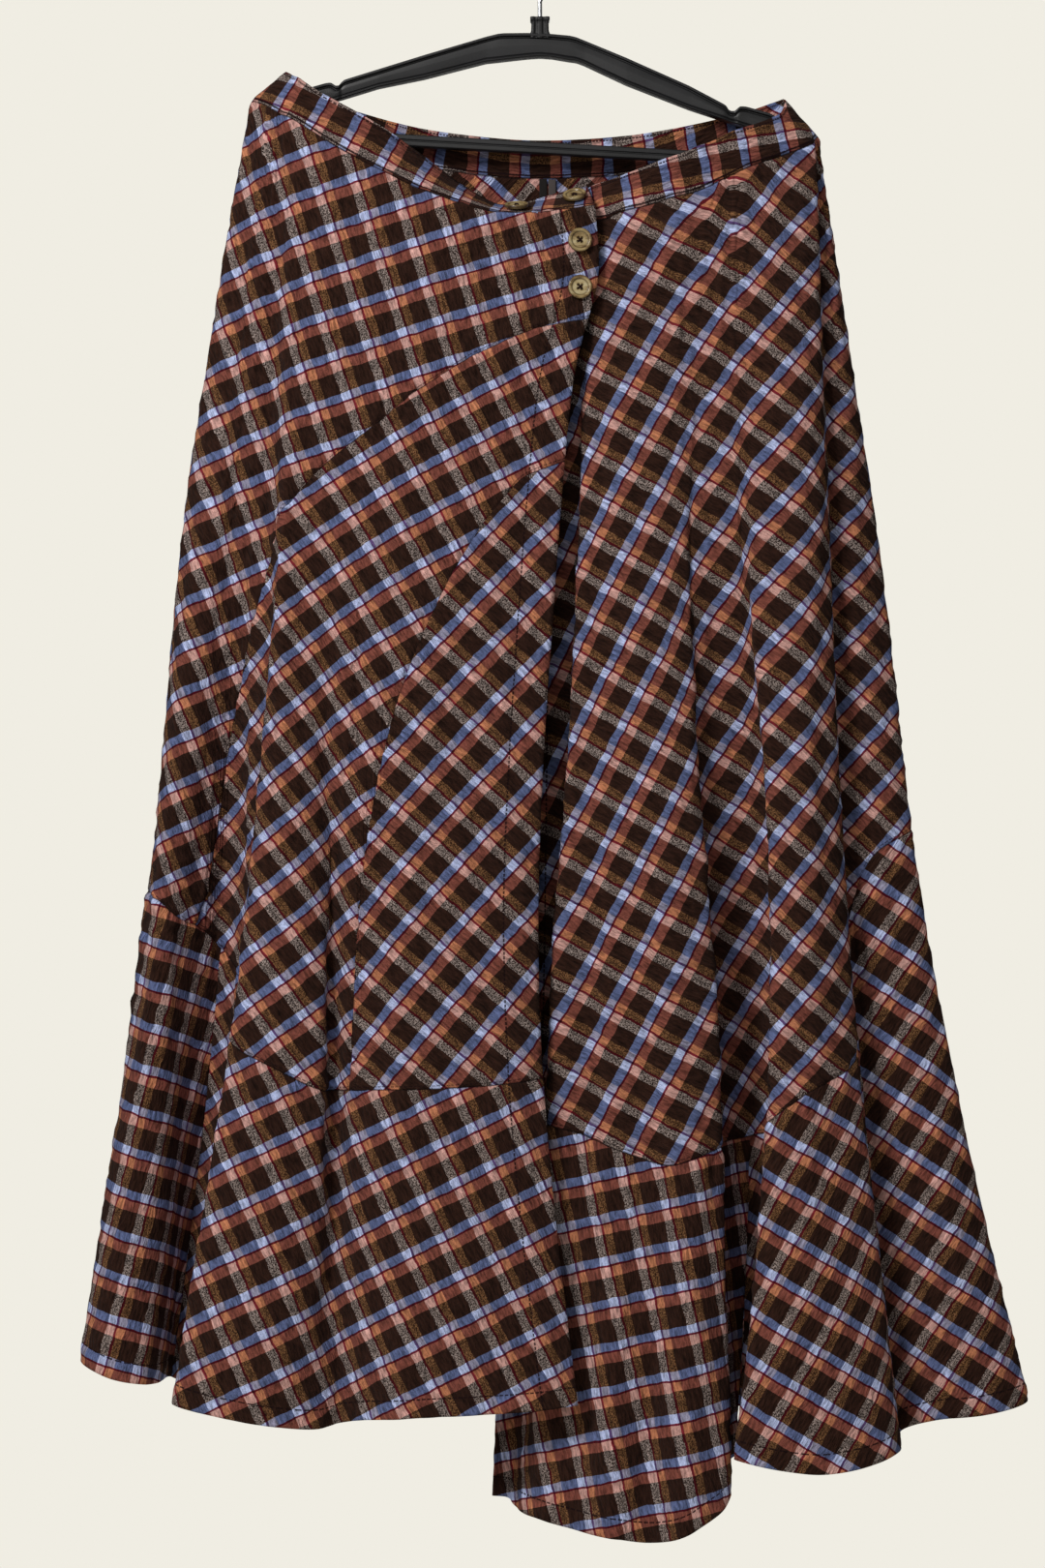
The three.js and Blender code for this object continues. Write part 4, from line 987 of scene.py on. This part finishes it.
def arm_section(top, bottom, depth):
    """Moulded channel: a flange along each edge, a groove below the upper one, and a web that
    stands back between them with a slight crown."""
    a, h = depth / 2, top - bottom
    f = min(2.1, 0.22 * h)
    half = [(a - 0.5, top), (a, top - 0.5), (a, top - f), (a - 2.6, top - f - 0.2), (a - 2.6, top - f - 1.3),
            (a - 0.9, top - f - 1.9), (a - 0.6, (top + bottom) / 2), (a - 1.0, bottom + f * 0.8 + 1.2),
            (a - 1.8, bottom + f * 0.7 + 0.5), (a - 0.1, bottom + f * 0.6), (a - 0.1, bottom + 0.6),
            (a - 0.8, bottom)]
    half = np.array(half)
    return rounded(np.concatenate([half * (-1, 1), half[::-1]]), 0.35)


def bar_section(top, bottom, depth):
    """Solid bar with a shallow step along its front and back, and eased edges."""
    a, h = depth / 2, top - bottom
    half = np.array([
        (a - 0.8, top), (a, top - 0.8), (a, top - 0.42 * h), (a - 0.6, top - 0.42 * h - 0.4),
        (a - 0.6, top - 0.5 * h - 0.4), (a, top - 0.5 * h - 0.8), (a, bottom + 0.8), (a - 0.8, bottom)])
    return rounded(np.concatenate([half * (-1, 1), half[::-1]]), 0.35)


def neck_section(z, wide, deep):
    """Block across z with a slot down the middle of each broad face and narrow ribs beside it."""
    half = np.array([
        (wide, -deep + 1), (wide, deep - 1), (wide - 1, deep), (wide * 0.62, deep),
        (wide * 0.56, deep - 0.9), (wide * 0.3, deep - 0.9), (wide * 0.24, deep), (-wide * 0.24, deep),
        (-wide * 0.3, deep - 0.9), (-wide * 0.56, deep - 0.9), (-wide * 0.62, deep), (-wide + 1, deep)])
    return rounded(np.concatenate([half, -half]), 0.25)


def carried(name, rows, section, nodes, across=True):
    """Section carried from row to row: each column runs straight between the rows, softened over
    2 mm, and the first and last sections shrink to a closing point."""
    rows = np.array(rows, float)
    run = np.concatenate([[0], np.cumsum(np.linalg.norm(np.diff(rows[:, [0, 2]], axis=0), axis=1))])
    at = np.unique(np.concatenate([np.arange(0, run[-1], 2.0), run]))
    soft = np.stack([np.mean([np.interp(np.clip(at + d, 0, run[-1]), run, column) for d in (-0.7, 0, 0.7)], 0)
                     for column in rows.T], 1)
    rings = []
    for row in soft:
        flat = section(*row[2:]) if across else section(*row)
        level = np.full(len(flat), row[0])
        rings.append(np.stack([level, row[1] + flat[:, 0], flat[:, 1]] if across else [*flat.T, level], 1))
    rings = np.array(rings)
    middle = rings.mean(1, keepdims=True)
    rings = np.concatenate([middle[:1] + (rings[:1] - middle[:1]) * 0.001, rings,
                            middle[-1:] + (rings[-1:] - middle[-1:]) * 0.001])
    piece = new_object(name, rings.reshape(-1, 3), ring_faces(*rings.shape[:2]), True,
                       nodes, PLASTIC)
    weld(piece)
    piece.data.set_sharp_from_angle(angle=0.7)


carried("hanger_arms", ARMS, arm_section, ["hanger_arm_right", "hanger_arm_left"])
carried("hanger_bar_body", BAR, bar_section, ["hanger_bar"])
carried("hanger_neck_block", NECK, neck_section, ["hanger_neck"], across=False)
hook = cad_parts["hanger_hook"]
hook.data.materials.clear()
hook.data.materials.append(WIRE)


# ---- floor, light and camera --------------------------------------------------------------

def disc(name, radius, height, material):
    """Round floor plate: a ring grid that thins towards its edge."""
    r, t = np.meshgrid(np.array([0, 0.3, 0.6, 0.85, 1.0, 1.0]) * radius,
                       np.linspace(0, 2 * np.pi, 97)[:-1], indexing="ij")
    z = np.repeat(np.array([0, 0, 0, 0, -2.0, -12.0])[:, None], 96, 1) + height
    points = np.stack([r * np.cos(t), r * np.sin(t), z], -1).reshape(-1, 3)
    plate = solid_of(name, points, ring_faces(*r.shape)[:, [0, 3, 2, 1]], False, material)
    weld(plate)


disc("floor", 900, -1412, FLOOR)


# square soft lights turned towards the middle of the skirt: place in m, size, power, colour
MIDDLE = Vector((0.0, 0.0, -0.62))
for name, place, size, power, colour in (
        ("key", (-1.35, -2.1, 1.0), 0.7, 47.0, (1.0, 0.985, 0.96)),
        ("fill", (-0.7, -2.8, -0.1), 1.4, 9.0, (1.0, 0.99, 0.97)),
        ("back", (0.6, 2.6, 0.6), 2.2, 26.0, (1.0, 0.99, 0.97))):
    data = bpy.data.lights.new(name, "AREA")
    data.shape, data.size, data.energy, data.color = "SQUARE", size, power, colour
    lamp = bpy.data.objects.new(name, data)
    bpy.context.scene.collection.objects.link(lamp)
    lamp.location = place
    lamp.rotation_euler = (MIDDLE - Vector(place)).to_track_quat("-Z", "Y").to_euler()

world = bpy.data.worlds.new("studio")
bpy.context.scene.world = world
world.use_nodes = True
tree = world.node_tree
backdrop = tree.nodes["Background"]
backdrop.inputs["Color"].default_value = linear(240, 237, 227)
backdrop.inputs["Strength"].default_value = 1.0
around = tree.nodes.new("ShaderNodeBackground")
around.inputs["Color"].default_value = linear(240, 238, 232)
around.inputs["Strength"].default_value = 0.2
share = tree.nodes.new("ShaderNodeMixShader")
ray = tree.nodes.new("ShaderNodeLightPath")
tree.links.new(ray.outputs["Is Camera Ray"], share.inputs[0])
tree.links.new(around.outputs[0], share.inputs[1])
tree.links.new(backdrop.outputs[0], share.inputs[2])
tree.links.new(share.outputs[0], tree.nodes["World Output"].inputs[0])
bpy.context.scene.view_settings.view_transform = "Standard"

data = bpy.data.cameras.new("camera")
data.sensor_fit, data.sensor_height, data.lens = "VERTICAL", 24.0, 57.61
camera = bpy.data.objects.new("camera", data)
bpy.context.scene.collection.objects.link(camera)
camera.location = (-0.013, -2.8, -0.625)
camera.rotation_euler = (np.pi / 2, 0, 0)
bpy.context.scene.camera = camera

bpy.context.view_layer.update()
